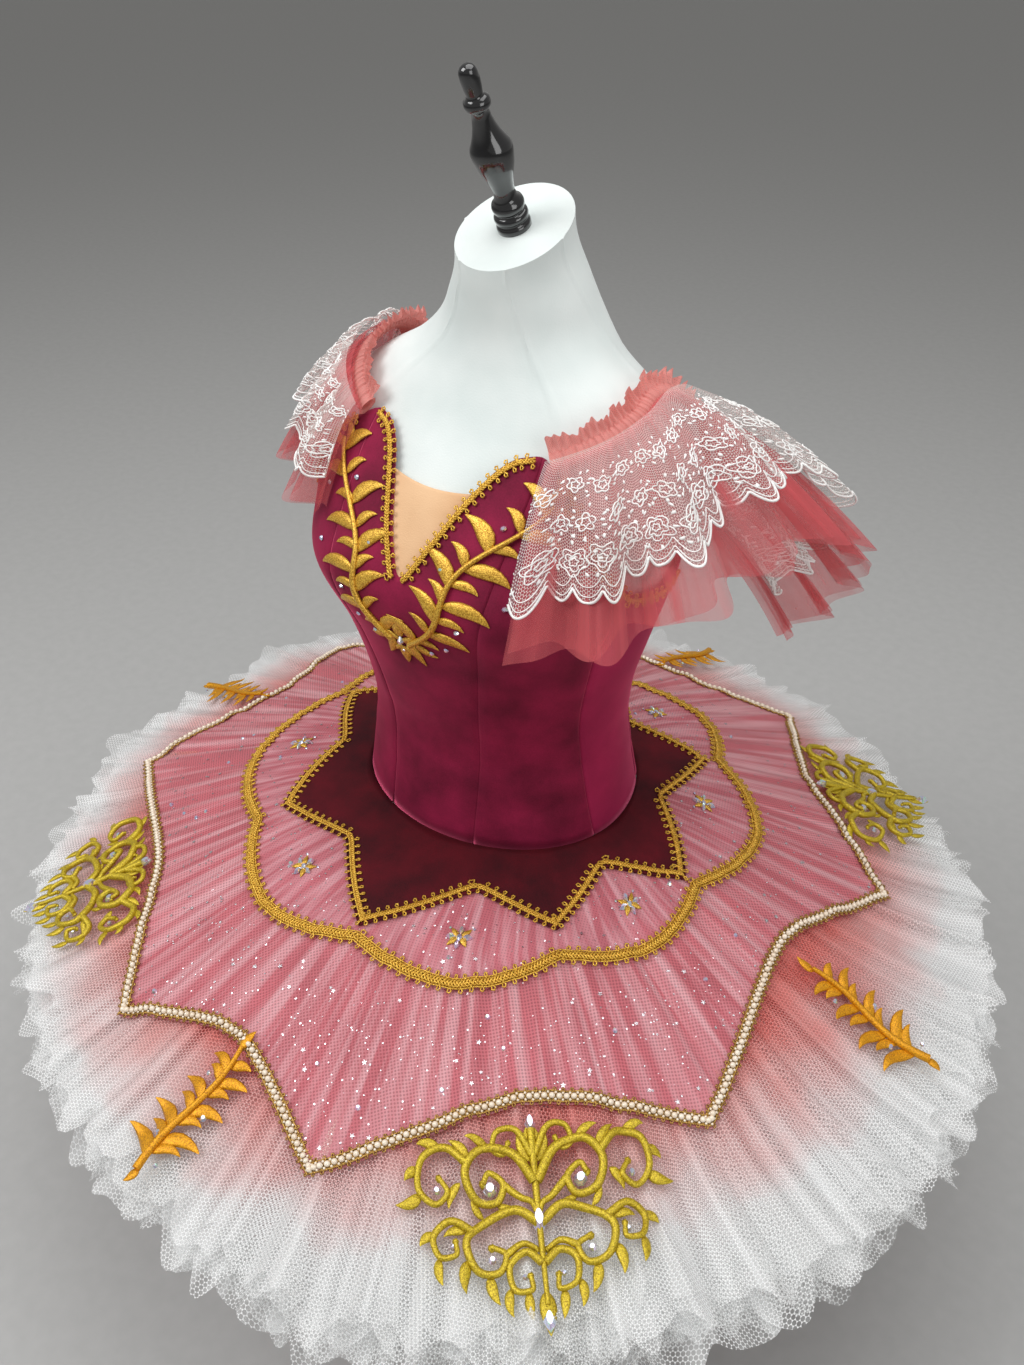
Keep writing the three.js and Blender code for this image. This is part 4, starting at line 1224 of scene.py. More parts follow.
class Rail:
    """A line on a surface, read by distance along it, with room to step aside or up from it."""

    def __init__(self, points: Array, normals: Array, closed: bool = False) -> None:
        """Measures the line.

        Args:
            points: Closely spaced points in millimetres.
            normals: Directions away from the surface.
            closed: Whether the line meets itself.
        """
        if closed:
            points = np.vstack([points, points[:1]])
            normals = np.vstack([normals, normals[:1]])
        steps = np.linalg.norm(np.diff(points, axis=0), axis=1)
        self.arc = np.concatenate([[0.0], np.cumsum(steps)])
        self.points = points
        self.closed = closed
        tangents = np.gradient(points, self.arc, axis=0)
        if closed:
            tangents[0] = tangents[-1] = tangents[0] + tangents[-1]
        self.tangents = unit(tangents)
        self.normals = unit(normals)
        self.sides = unit(np.cross(self.normals, self.tangents))

    @property
    def length(self) -> float:
        """Length of the line."""
        return float(self.arc[-1])

    def read(self, table: Array, along: Array) -> Array:
        """A table's rows at distances along the line."""
        held = np.mod(along, self.length) if self.closed else np.clip(along, 0, self.length)
        return np.stack([np.interp(held, self.arc, table[:, i]) for i in range(3)], axis=-1)

    def at(self, along: Array, aside: Array, lift: Array) -> Array:
        """Points beside and above the line, in millimetres."""
        along = np.asarray(along, float)
        aside, lift = (np.broadcast_to(np.asarray(value, float), along.shape)[..., None]
                       for value in (aside, lift))
        return (self.read(self.points, along) + self.read(self.sides, along) * aside
                + self.read(self.normals, along) * lift)

    def frames(self, along: Array, scale: float) -> Array:
        """Scaled directions along, aside and up at distances along the line."""
        tables = (self.tangents, self.sides, self.normals)
        return np.stack([self.read(table, along) for table in tables], axis=1) * scale


class Gimp(Enum):
    """Kinds of braid sewn to the edges."""

    LOOPS = "looped gimp between two cords"
    PLAIT = "wide plaited braid"
    PEARLS = "pearls between antique loops"


@dataclass
class Findings:
    """The metal threads, pearls and stones that all trims share, and the small shapes they are cut from."""

    gold: bpy.types.Material = field(init=False)
    antique: bpy.types.Material = field(init=False)
    lemon: bpy.types.Material = field(init=False)
    orange: bpy.types.Material = field(init=False)
    pearl: bpy.types.Material = field(init=False)
    stone: bpy.types.Material = field(init=False)
    silver: bpy.types.Material = field(init=False)

    def __post_init__(self) -> None:
        """Makes the materials and the small shapes."""
        # Each metal thread's two colours are its painted highlight and its painted shade.
        self.gold = MetalThread("gold gimp thread", "#f3c650", "#a8741a", rough=0.36, metal=0.5).make()
        self.antique = MetalThread("antique gold thread", "#cfa455", "#6b4a1c", metal=0.6).make()
        self.lemon = MetalThread("yellow gold embroidery", "#dcc434", "#987c10", rough=0.42, metal=0.42).make()
        self.orange = MetalThread("orange gold embroidery", "#f0ad1a", "#b0700a", rough=0.45, metal=0.45).make()
        self.pearl = Polished("ivory glass pearl", "#f3e7d4", 0.2, coat=0.8, tint="#e8d6be").make()
        self.stone = CutStone("foiled crystal").make()
        self.silver = MetalThread("silver foil sequin", "#f4f1f4", "#c9c3ca", rough=0.22, metal=0.9).make()
        self.leaf = template("uvsphere", self.leaf_shape, u_segments=8, v_segments=10, radius=1.0)
        self.petal = template("uvsphere", self.petal_shape, u_segments=5, v_segments=3, radius=1.0)
        self.round = template("cone", None, cap_ends=True, segments=8, radius1=1.0, radius2=0.55, depth=0.7)
        self.navette = template("cone", self.navette_shape, cap_ends=True, segments=12, radius1=1.0, radius2=0.5,
                                depth=0.8)
        self.bead = template("icosphere", None, subdivisions=2, radius=1.0)
        self.grain = template("icosphere", None, subdivisions=1, radius=1.0)
        self.dot = template("circle", None, cap_ends=True, segments=8, radius=1.0)
        self.star = template("circle", self.star_shape, cap_ends=True, segments=10, radius=1.0)

    @staticmethod
    def leaf_shape(corners: Array) -> Array:
        """Draws a ball out to a pointed leaf with a groove down its middle."""
        along = corners[:, 2]
        point = (1 - np.clip(np.abs(along), 0, 1) ** 2) ** 0.3 * (1 - 0.4 * along)
        groove = 0.65 + 0.35 * np.clip(np.abs(corners[:, 0]) / 0.35, 0, 1)
        return np.stack([along, corners[:, 0] * point, corners[:, 1] * point * groove], axis=-1)

    @staticmethod
    def petal_shape(corners: Array) -> Array:
        """Lays a ball down as a rounded petal, wider away from the flower's middle."""
        along = corners[:, 2]
        return np.stack([along, corners[:, 0] * (1 + 0.3 * along), corners[:, 1]], axis=-1)

    @staticmethod
    def navette_shape(corners: Array) -> Array:
        """Draws a round stone out to a boat shape."""
        moved = corners.copy()
        moved[:, 1] *= 0.52 * (1.05 - np.abs(corners[:, 0]) ** 1.6)
        return moved

    @staticmethod
    def star_shape(corners: Array) -> Array:
        """Pulls every second corner in."""
        moved = corners.copy()
        order = np.argsort(np.arctan2(corners[:, 1], corners[:, 0]))
        moved[order[::2]] *= 0.42
        return moved


@dataclass
class Trimmer:
    """Makes braids along rails."""

    findings: Findings

    def braid(self, name: str, rail: Rail, kind: Gimp, width: float, slot: str, node: str, flip: float = 1.0,
              antique: bool = False) -> None:
        """A braid that lies from the rail to its width beside it.

        Args:
            name: The piece's name.
            rail: The edge it follows.
            kind: How it is worked.
            width: Its width in millimetres.
            slot: The record's material slot; not used.
            node: The solid it stands for.
            flip: 1 or -1, the side of the rail that it lies on.
            antique: Whether the dark gold thread is used.
        """
        middle, half = flip * width / 2, width / 2
        parts = [self.ribbon(rail, middle, half * (0.3 if kind is Gimp.LOOPS else 0.7))]
        if kind is Gimp.LOOPS:
            parts += self.loops(rail, middle, half * 1.55, 8.4, 0.8)
            parts += self.plait(rail, middle, half * 0.42, 7.5, 0.95)
        elif kind is Gimp.PLAIT:
            parts += self.loops(rail, middle, half * 1.75, 9.0, 0.85)
            parts += self.plait(rail, middle, half * 0.6, 9.0, 1.1)
            parts += self.edges(rail, middle, half * 0.9, 0.75)
        else:
            parts += self.loops(rail, middle, half * 1.2, 7.0, 0.7)
            parts += self.edges(rail, middle, half * 0.72, 0.8)
        thread = self.findings.antique if antique else self.findings.gold
        piece = new_object(name, joined(name, parts), thread)
        attach(piece, slot, node)
        if kind is Gimp.PEARLS:
            self.pearls(name, rail, middle, slot)

    def steps(self, rail: Rail, pitch: float, count: int) -> tuple[Array, float]:
        """Distances along a rail, with a whole number of repeats of the pitch."""
        repeats = max(2, round(rail.length / pitch))
        along = np.linspace(0, rail.length, repeats * count, endpoint=not rail.closed)
        return along, 2 * math.pi * repeats / rail.length

    def ribbon(self, rail: Rail, middle: float, half: float) -> bpy.types.Mesh:
        """The braid's woven ground."""

        def place(u: Array, v: Array) -> Array:
            return rail.at(u * rail.length * (0.99999 if rail.closed else 1.0), middle + (2 * v - 1) * half, 1.5)

        return cloth_mesh("ground", max(24, int(rail.length / 4)), 2, place, (1.0, 0.01), ring=rail.closed)

    def loops(self, rail: Rail, middle: float, half: float, pitch: float, radius: float) -> list[bpy.types.Mesh]:
        """A cord that loops over itself at both sides."""
        along, turn = self.steps(rail, pitch, 11)
        phase = along * turn
        shift = 0.3 * pitch * np.sin(2 * phase)
        path = rail.at(along + shift, middle + half * np.sin(phase), 2.0 + 0.3 * np.sin(phase * 2))
        return [cord_mesh("loops", [path], radius, closed=rail.closed, sides=0)]

    def plait(self, rail: Rail, middle: float, half: float, pitch: float, radius: float) -> list[bpy.types.Mesh]:
        """Three strands that pass over each other."""
        along, turn = self.steps(rail, pitch, 7)
        paths = []
        for strand in range(3):
            phase = along * turn + strand * 2 * math.pi / 3
            paths.append(rail.at(along, middle + half * np.sin(phase), 2.5 + 0.6 * np.sin(2 * phase)))
        return [cord_mesh("plait", paths, radius, closed=rail.closed, sides=0)]

    def edges(self, rail: Rail, middle: float, half: float, radius: float) -> list[bpy.types.Mesh]:
        """Two straight cords."""
        along, _ = self.steps(rail, 4.0, 1)
        paths = [rail.at(along, middle + side * half, 2.1) for side in (-1, 1)]
        return [cord_mesh("cords", paths, radius, closed=rail.closed, sides=0)]

    def pearls(self, name: str, rail: Rail, middle: float, slot: str) -> None:
        """A row of pearls along the braid's middle, with a small one between each pair."""
        size = 2.5
        count = int(rail.length / (size * 2.3))
        along = np.arange(count) * rail.length / count
        parts = [sown(name, self.findings.bead, rail.at(along, middle, 3.0), rail.frames(along, size))]
        between = along + rail.length / count / 2
        for side in (-1, 1):
            parts.append(sown(name, self.findings.grain, rail.at(between, middle + side * 2.6, 2.4),
                              rail.frames(between, size * 0.5)))
        attach(new_object(f"{name}_pearls", joined("pearls", parts), self.findings.pearl), slot)


@dataclass
class Applique:
    """A drawing in leaves, cords and stones, in millimetres, that is sewn to any surface.

    Rounded shapes stand on the surface by the sunk share of their height from their middle.
    """

    findings: Findings
    leaves: list = field(default_factory=list)
    cords: list = field(default_factory=list)
    rounds: list = field(default_factory=list)
    navettes: list = field(default_factory=list)
    beads: list = field(default_factory=list)
    sunk: float = 0.35

    def leaf(self, x: float, y: float, angle: float, length: float, width: float, twin: bool = True,
             curl: float = 0.0) -> None:
        """Adds a leaf from x, y at an angle from +Y towards +X, with its mirror twin; curl bends it."""
        for side in ((1, -1) if twin else (1,)):
            bearing = math.radians(90 - side * angle)
            self.leaves.append((side * x, y, bearing, length, width / 2, 1.7, math.radians(side * curl) or 1e-3))

    def bent_leaves(self, laid: Laid, base: float) -> bpy.types.Mesh:
        """The leaves, each bent along its own arc."""
        corners = corners_of(self.findings.leaf)[None]
        x0, y0, bearing, length, half, height, curl = columns_of(self.leaves)
        heading = bearing - curl * ((corners[..., 0] + 1) / 2)
        x = x0 + length / curl * (np.sin(bearing) - np.sin(heading)) - np.sin(heading) * corners[..., 1] * half
        y = y0 + length / curl * (np.cos(heading) - np.cos(bearing)) + np.cos(heading) * corners[..., 1] * half
        lift = base + (corners[..., 2] + self.sunk) * height
        return copied("leaves", self.findings.leaf, laid(x.ravel(), y.ravel(), lift.ravel()))

    def vine(self, marks: Sequence[tuple], radius: float, twin: bool = True) -> None:
        """Adds a smooth cord through marks that ends in a bead, with its mirror twin."""
        table = np.array(marks, float)
        steps = np.linspace(0, len(table) - 1, 9 * len(table))
        path = np.stack([catmull(range(len(table)), table[:, axis], steps) for axis in (0, 1)], axis=-1)
        for side in ((1, -1) if twin else (1,)):
            self.cords.append((path * (side, 1), radius))
            self.beads.append((side * path[-1, 0], path[-1, 1], 0.0, radius * 1.3, radius * 1.3, 1.9))

    def stone(self, x: float, y: float, size: float, twin: bool = True) -> None:
        """Adds a round stone and its mirror twin."""
        for side in ((1, -1) if twin and x else (1,)):
            self.rounds.append((side * x, y, 0.3, size, size, size))

    def boat(self, x: float, y: float, angle: float, size: float, twin: bool = True) -> None:
        """Adds a navette stone and its mirror twin."""
        for side in ((1, -1) if twin and (x or angle) else (1,)):
            self.navettes.append((side * x, y, math.radians(90 - side * angle), size, size, size * 0.8))

    def laid_copies(self, small: bpy.types.Mesh, spots: Sequence[tuple], laid: Laid,
                    base: float) -> bpy.types.Mesh:
        """Copies of a small shape that bend with the surface under them."""
        corners = corners_of(small)[None]
        x0, y0, bearing, length, half, height = columns_of(spots)
        along, across = corners[..., 0] * length, corners[..., 1] * half
        x = x0 + along * np.cos(bearing) - across * np.sin(bearing)
        y = y0 + along * np.sin(bearing) + across * np.cos(bearing)
        lift = base + (corners[..., 2] + self.sunk) * height
        return copied(small.name, small, laid(x.ravel(), y.ravel(), lift.ravel()))

    def sew(self, name: str, laid: Laid, thread: bpy.types.Material, node: str, base: float) -> None:
        """Makes the pieces of the drawing on a surface.

        Args:
            name: The piece's name.
            laid: The drawing board on the surface.
            thread: The embroidery's material.
            node: The solid it stands for.
            base: Height of the work above the surface.
        """
        slot = "gold_trim"
        kit = self.findings
        parts = []
        if self.leaves:
            parts.append(self.bent_leaves(laid, base))
        if self.beads:
            parts.append(self.laid_copies(kit.grain, self.beads, laid, base))
        for path, radius in self.cords:
            points = laid(path[:, 0], path[:, 1], np.full(len(path), base + radius))
            parts.append(cord_mesh("cord", [points], radius * 1.2, sides=1,
                                   tapers=[np.linspace(1.25, 0.7, len(path))]))
        piece = new_object(name, joined(name, parts), thread)
        face_outwards(piece)
        attach(piece, slot, node)
        stones = [self.laid_copies(shape, spots, laid, base + 0.6)
                  for shape, spots in ((kit.round, self.rounds), (kit.navette, self.navettes)) if spots]
        if stones:
            gems = new_object(f"{name}_stones", joined("stones", stones), kit.stone)
            face_outwards(gems)
            gems.data.shade_flat()
            attach(gems, slot)


@dataclass
class Ornaments:
    """Every applique on the bodice and the skirt. The drawings are plain scrolls, leaves and stones.

    A row of a table gives the turn, the reach and the size of one of them.
    """

    body: Body
    shape: SkirtShape
    findings: Findings
    medallions: tuple = ((42, 413, 1.0), (135, 396, 0.86), (226, 395, 0.8), (318, 389, 0.84))
    branches: tuple = ((1, 401, 1.0), (91, 398, 1.0), (180, 388, 0.96), (268, 392, 0.96))
    flowers: tuple = tuple((turn, 205, 1.0) for turn in (29, 72, 117, 160, 203, 243, 290, 342))

    def build(self) -> None:
        """Sews every applique."""
        kit = self.findings
        for name, node, drawing, rows, layer, thread, base in (
                ("scroll_medallion", "medallion", self.medallion(), self.medallions, NET_LAYERS[0], kit.lemon, 6.0),
                ("leaf_branch", "branch", self.branch(), self.branches, NET_LAYERS[0], kit.orange, 5.5),
                ("jewel_flower", "crystal_flower", self.flower(), self.flowers, PETAL_LAYER, kit.gold, 1.2)):
            for number, (turn, reach, size) in enumerate(rows, 1):
                board = self.shape.local(turn, reach, layer, size)
                drawing.sew(f"{name}_{number}", board, thread, f"{node}_{number}", base)
        drawing = self.spray()
        for letter, side in (("left", 1), ("right", -1)):
            board = self.mirrored(self.body.local(18.0 * side, 182.0), side)
            drawing.sew(f"bust_scroll_{letter}", board, kit.gold, f"bust_spray_{letter}", 3.4)
        self.drop().sew("centre_pendant", self.body.local(0.0, 120.0), kit.gold, "centre_drop", 3.4)

    @staticmethod
    def mirrored(board: Laid, side: int) -> Laid:
        """The same board with left and right changed over when side is -1."""
        return lambda x, y, lift: board(np.asarray(x) * side, y, lift)

    def medallion(self) -> Applique:
        """A wide scroll medallion: a fan above, two wings of scrolls and a drop towards the hem."""
        art = Applique(self.findings)
        for angle, length, curl in ((18, 24, -30), (44, 24, -50)):
            art.leaf(2, 36, angle, length, 8, curl=curl)
        art.vine(((0, 58), (0, 30), (0, 0), (0, -30), (0, -62)), 2.2, twin=False)
        for marks, radius in (
                (((1, 22), (16, 42), (38, 46), (52, 30), (46, 12), (30, 10), (24, 22), (34, 30), (39, 23)), 2.7),
                (((50, 34), (66, 46), (84, 38), (88, 18), (76, 8), (66, 16), (72, 26)), 2.4),
                (((1, -6), (18, 4), (40, -4), (54, -18), (48, -36), (32, -38), (26, -26), (36, -20)), 2.6),
                (((50, -10), (66, -4), (78, -14), (74, -28), (62, -28), (62, -18)), 2.2),
                (((1, -34), (12, -26), (24, -34), (22, -50), (10, -52), (10, -42)), 2.2),
                (((1, 40), (12, 58), (26, 58), (30, 46), (22, 42), (18, 50)), 2.0),
                (((24, 22), (12, 12), (4, 8), (1, 0)), 2.2), (((26, -26), (14, -20), (4, -24)), 2.2)):
            art.vine(marks, radius)
        for x, y, angle, length, width, curl in (
                (34, 46, 30, 20, 7, 70), (50, 36, 10, 22, 8, 60), (70, 44, 40, 20, 8, 80),
                (86, 30, 90, 16, 7, 70), (86, 16, 150, 24, 8, -60), (56, 22, 120, 20, 7, 60),
                (54, -12, 60, 18, 7, 70), (76, -12, 90, 16, 7, 70), (74, -28, 160, 20, 7, 50),
                (52, -30, 140, 24, 8, 60), (38, -38, 170, 22, 8, 50), (24, -48, 150, 20, 7, 60),
                (12, -52, 170, 20, 7, 30), (16, 6, 100, 18, 6, -70), (40, 0, 60, 18, 6, -70)):
            art.leaf(x, y, angle, length, width, curl=curl)
        art.leaf(0, -52, 180, 30, 12, twin=False)
        art.boat(0, 62, 0, 8)
        art.boat(0, -4, 0, 11)
        art.boat(0, -72, 0, 9)
        for x, y, size in ((34, 20, 5.4), (0, 18, 2.6), (74, 18, 3.2), (36, -28, 3.2), (0, 36, 2.2),
                           (0, -28, 2.6), (64, -22, 2.4), (14, -42, 2.2)):
            art.stone(x, y, size)
        return art

    def branch(self) -> Applique:
        """A leaf branch: a swaying stem with long curled leaves that shorten to a bud."""
        art = Applique(self.findings)
        share = np.linspace(-1, 1, 24)
        sway = 5.0 * np.sin(share * 2.6)
        art.cords.append((np.stack([sway, share * 56], axis=-1), 2.6))
        for row, y in enumerate((-46, -34, -20, -6, 8, 22, 34)):
            side = 1 if row % 2 else -1
            x = float(np.interp(y / 56, share, sway))
            art.leaf(x, y, side * 30, 42 - 2.4 * row, 11.5 - 0.5 * row, twin=False, curl=side * 80)
            art.leaf(x, y + 4, -side * 22, 28 - 1.4 * row, 8.5, twin=False, curl=-side * 84)
        art.leaf(float(sway[-1]), 54, -16, 18, 8, twin=False, curl=40)
        art.leaf(float(sway[0]), -54, 170, 14, 8, twin=False, curl=50)
        for x, y, size in ((-12, -26, 2.6), (13, 0, 2.6), (-9, 28, 2.2), (8, -46, 2.0)):
            art.rounds.append((x, y, 0.2, size, size, size))
        return art

    def flower(self) -> Applique:
        """A small jewel: four boats round a stone on gold leaves."""
        art = Applique(self.findings)
        for angle in (38, 142):
            art.leaf(1.5, 0, angle, 11, 5)
        for angle in (0, 90, 180):
            bearing = math.radians(90 - angle)
            art.boat(7 * math.cos(bearing), 7 * math.sin(bearing), angle, 4.6, twin=angle == 90)
        art.stone(0, 0, 3.0)
        art.stone(10, 9, 1.3)
        return art

    def spray(self) -> Applique:
        """A rising scroll of flame-shaped leaves for one side of the bust; it isn't mirrored in itself."""
        art = Applique(self.findings)
        share = np.linspace(0, 1, 40)
        x = -30 + 62 * share + 7 * np.sin(share * 8)
        y = -60 + 122 * share
        art.cords.append((np.stack([x, y], axis=-1), 2.0))
        for number, at in enumerate(np.linspace(0.04, 0.94, 9)):
            sx, sy = float(np.interp(at, share, x)), float(np.interp(at, share, y))
            side = 1 if number % 2 else -1
            art.leaf(sx, sy, 28 + side * 38, 34 - 12 * abs(at - 0.45), 9.5, twin=False, curl=side * 72)
            art.leaf(sx, sy + 2, 28 - side * 30, 20, 6.5, twin=False, curl=-side * 80)
        art.leaf(-30, -58, 176, 26, 8, twin=False, curl=-30)
        art.leaf(-26, -56, 150, 20, 7, twin=False, curl=-60)
        art.leaf(32, 58, 16, 20, 8, twin=False, curl=40)
        for spot_x, spot_y in ((-14, -62), (6, -30), (30, -6), (-12, 10), (40, 30), (14, 44), (-2, -52)):
            art.rounds.append((spot_x, spot_y, 0.2, 1.8, 1.8, 1.8))
        return art

    def drop(self) -> Applique:
        """The pendant below the V."""
        art = Applique(self.findings)
        art.leaf(0, 6, 0, 18, 8, twin=False)
        art.leaf(1, 2, 56, 14, 5.5)
        art.leaf(0, -4, 180, 20, 8, twin=False)
        art.leaf(1, -4, 138, 12, 5)
        art.boat(0, 2, 0, 5)
        art.stone(0, -9, 1.8)
        return art


@dataclass
class Braids:
    """The braids on the skirt's edges and round the bodice's upper edge."""

    body: Body
    shape: SkirtShape
    bodice: Bodice
    trimmer: Trimmer

    def build(self) -> None:
        """Sews all braids."""
        self.skirt_braid("star_gimp", STAR, STAR_LAYER, Gimp.LOOPS, 9.5, "gold_trim", "star_braid")
        self.skirt_braid("petal_plait", PETALS, PETAL_LAYER, Gimp.PLAIT, 9.5, "gold_trim", "petal_braid")
        self.skirt_braid("overlay_pearl_braid", OVERLAY, OVERLAY_LAYER, Gimp.PEARLS, 11.0, "pearl_trim",
                         "overlay_braid", antique=True)
        for letter, side in (("left", 1), ("right", -1)):
            self.edge_braid(f"neck_gimp_{letter}", 0.9 * side, 27.0 * side, f"neck_braid_{letter}", side)
            self.edge_braid(f"side_gimp_{letter}", 36.0 * side, 102.0 * side, f"side_braid_{letter}", side)
        self.edge_braid("back_gimp", 150.0, 210.0, "back_braid", 1)

    def skirt_braid(self, name: str, outline: Outline, layer: Layer, kind: Gimp, width: float, slot: str,
                    node: str, antique: bool = False) -> None:
        """A braid just inside an overlay's edge."""
        turns = outline.turns(24)
        points = self.shape.point(turns, outline.reach(turns) - 0.5, layer, 0.6)
        slope = self.shape.point(turns, outline.reach(turns) - 8.5, layer, 0.6)
        out = unit(points - slope)
        around = unit(np.cross(out, np.array([0.0, 0.0, 1.0])))
        normals = unit(np.cross(around, out))
        normals *= np.sign(normals[:, 2:3])
        self.trimmer.braid(name, Rail(points, normals, closed=True), kind, width, slot, node, 1.0, antique)

    def edge_braid(self, name: str, start: float, end: float, node: str, side: int) -> None:
        """A gimp just below the bodice's upper edge."""
        turns = np.linspace(start, end, 90)
        ups = self.bodice.top(turns)
        points = self.body.point(turns, ups, CLOTH + 0.6)
        rail = Rail(points, self.body.normal(turns, ups))
        self.trimmer.braid(name, rail, Gimp.LOOPS, 8.0, "gold_trim", node, -1.0 * side)


@dataclass
class Sequins:
    """Foil dots, stars and small stones scattered on the pink layers, as joined meshes."""

    shape: SkirtShape
    findings: Findings
    seed: int = 5
    braid_room: float = 13.0
    star_room: float = 5.0

    def build(self) -> None:
        """Scatters both layers' sequins."""
        self.scatter("overlay_sequins", OVERLAY, OVERLAY_LAYER, 262.0, 1100, 1.5)
        self.scatter("petal_sequins", PETALS, PETAL_LAYER, 172.0, 320, 1.5)

    def scatter(self, name: str, outline: Outline, layer: Layer, inner: float, count: int, lift: float) -> None:
        """Sows dots, then stars, then stones between a reach and the outline."""
        draws = np.random.default_rng(self.seed + count)
        slant, farthest = (-0.37, 400.0) if outline is OVERLAY else (-0.2, 250.0)
        # name, shape, number sown, least and most radius in millimetres, finish
        kinds = (("dots", self.findings.dot, count, 0.4, 0.95, self.findings.silver),
                 ("stars", self.findings.star, count // 9, 1.5, 2.6, self.findings.silver),
                 ("stones", self.findings.round, count // 45, 2.0, 2.8, self.findings.stone))
        for kind, small, number, least, most, finish in kinds:
            turn = draws.uniform(0, 360, number * 2)
            room = outline.reach(turn) - self.braid_room
            reach = np.sqrt(draws.uniform(inner**2, farthest**2, number * 2))
            kept = (reach < room) & (STAR.reach(turn) + self.star_room < reach)
            turn, reach = turn[kept][:number], reach[kept][:number]
            centres = self.shape.point(turn, reach, layer, lift)
            yaw, tilt, size = (draws.uniform(low, high, len(turn))
                               for low, high in ((0, 6.3), (-0.25, 0.25), (least, most)))
            c, s = np.cos(yaw)[:, None], np.sin(yaw)[:, None]
            out = unit(np.stack([np.sin(np.radians(turn)), -np.cos(np.radians(turn)), slant + tilt], axis=-1))
            side = unit(np.cross(np.array([0.0, 0.0, 1.0]), out))
            frames = np.stack([out * c + side * s, side * c - out * s, np.cross(out, side)], axis=1)
            mesh = sown(name, small, centres, frames * size[:, None, None])
            piece = new_object(f"{name}_{kind}", mesh, finish)
            if kind == "stones":
                piece.data.shade_flat()
            attach(piece, "pearl_trim" if kind == "stones" else "gold_trim")


# ------------------------------------------------------------------------ the sleeves


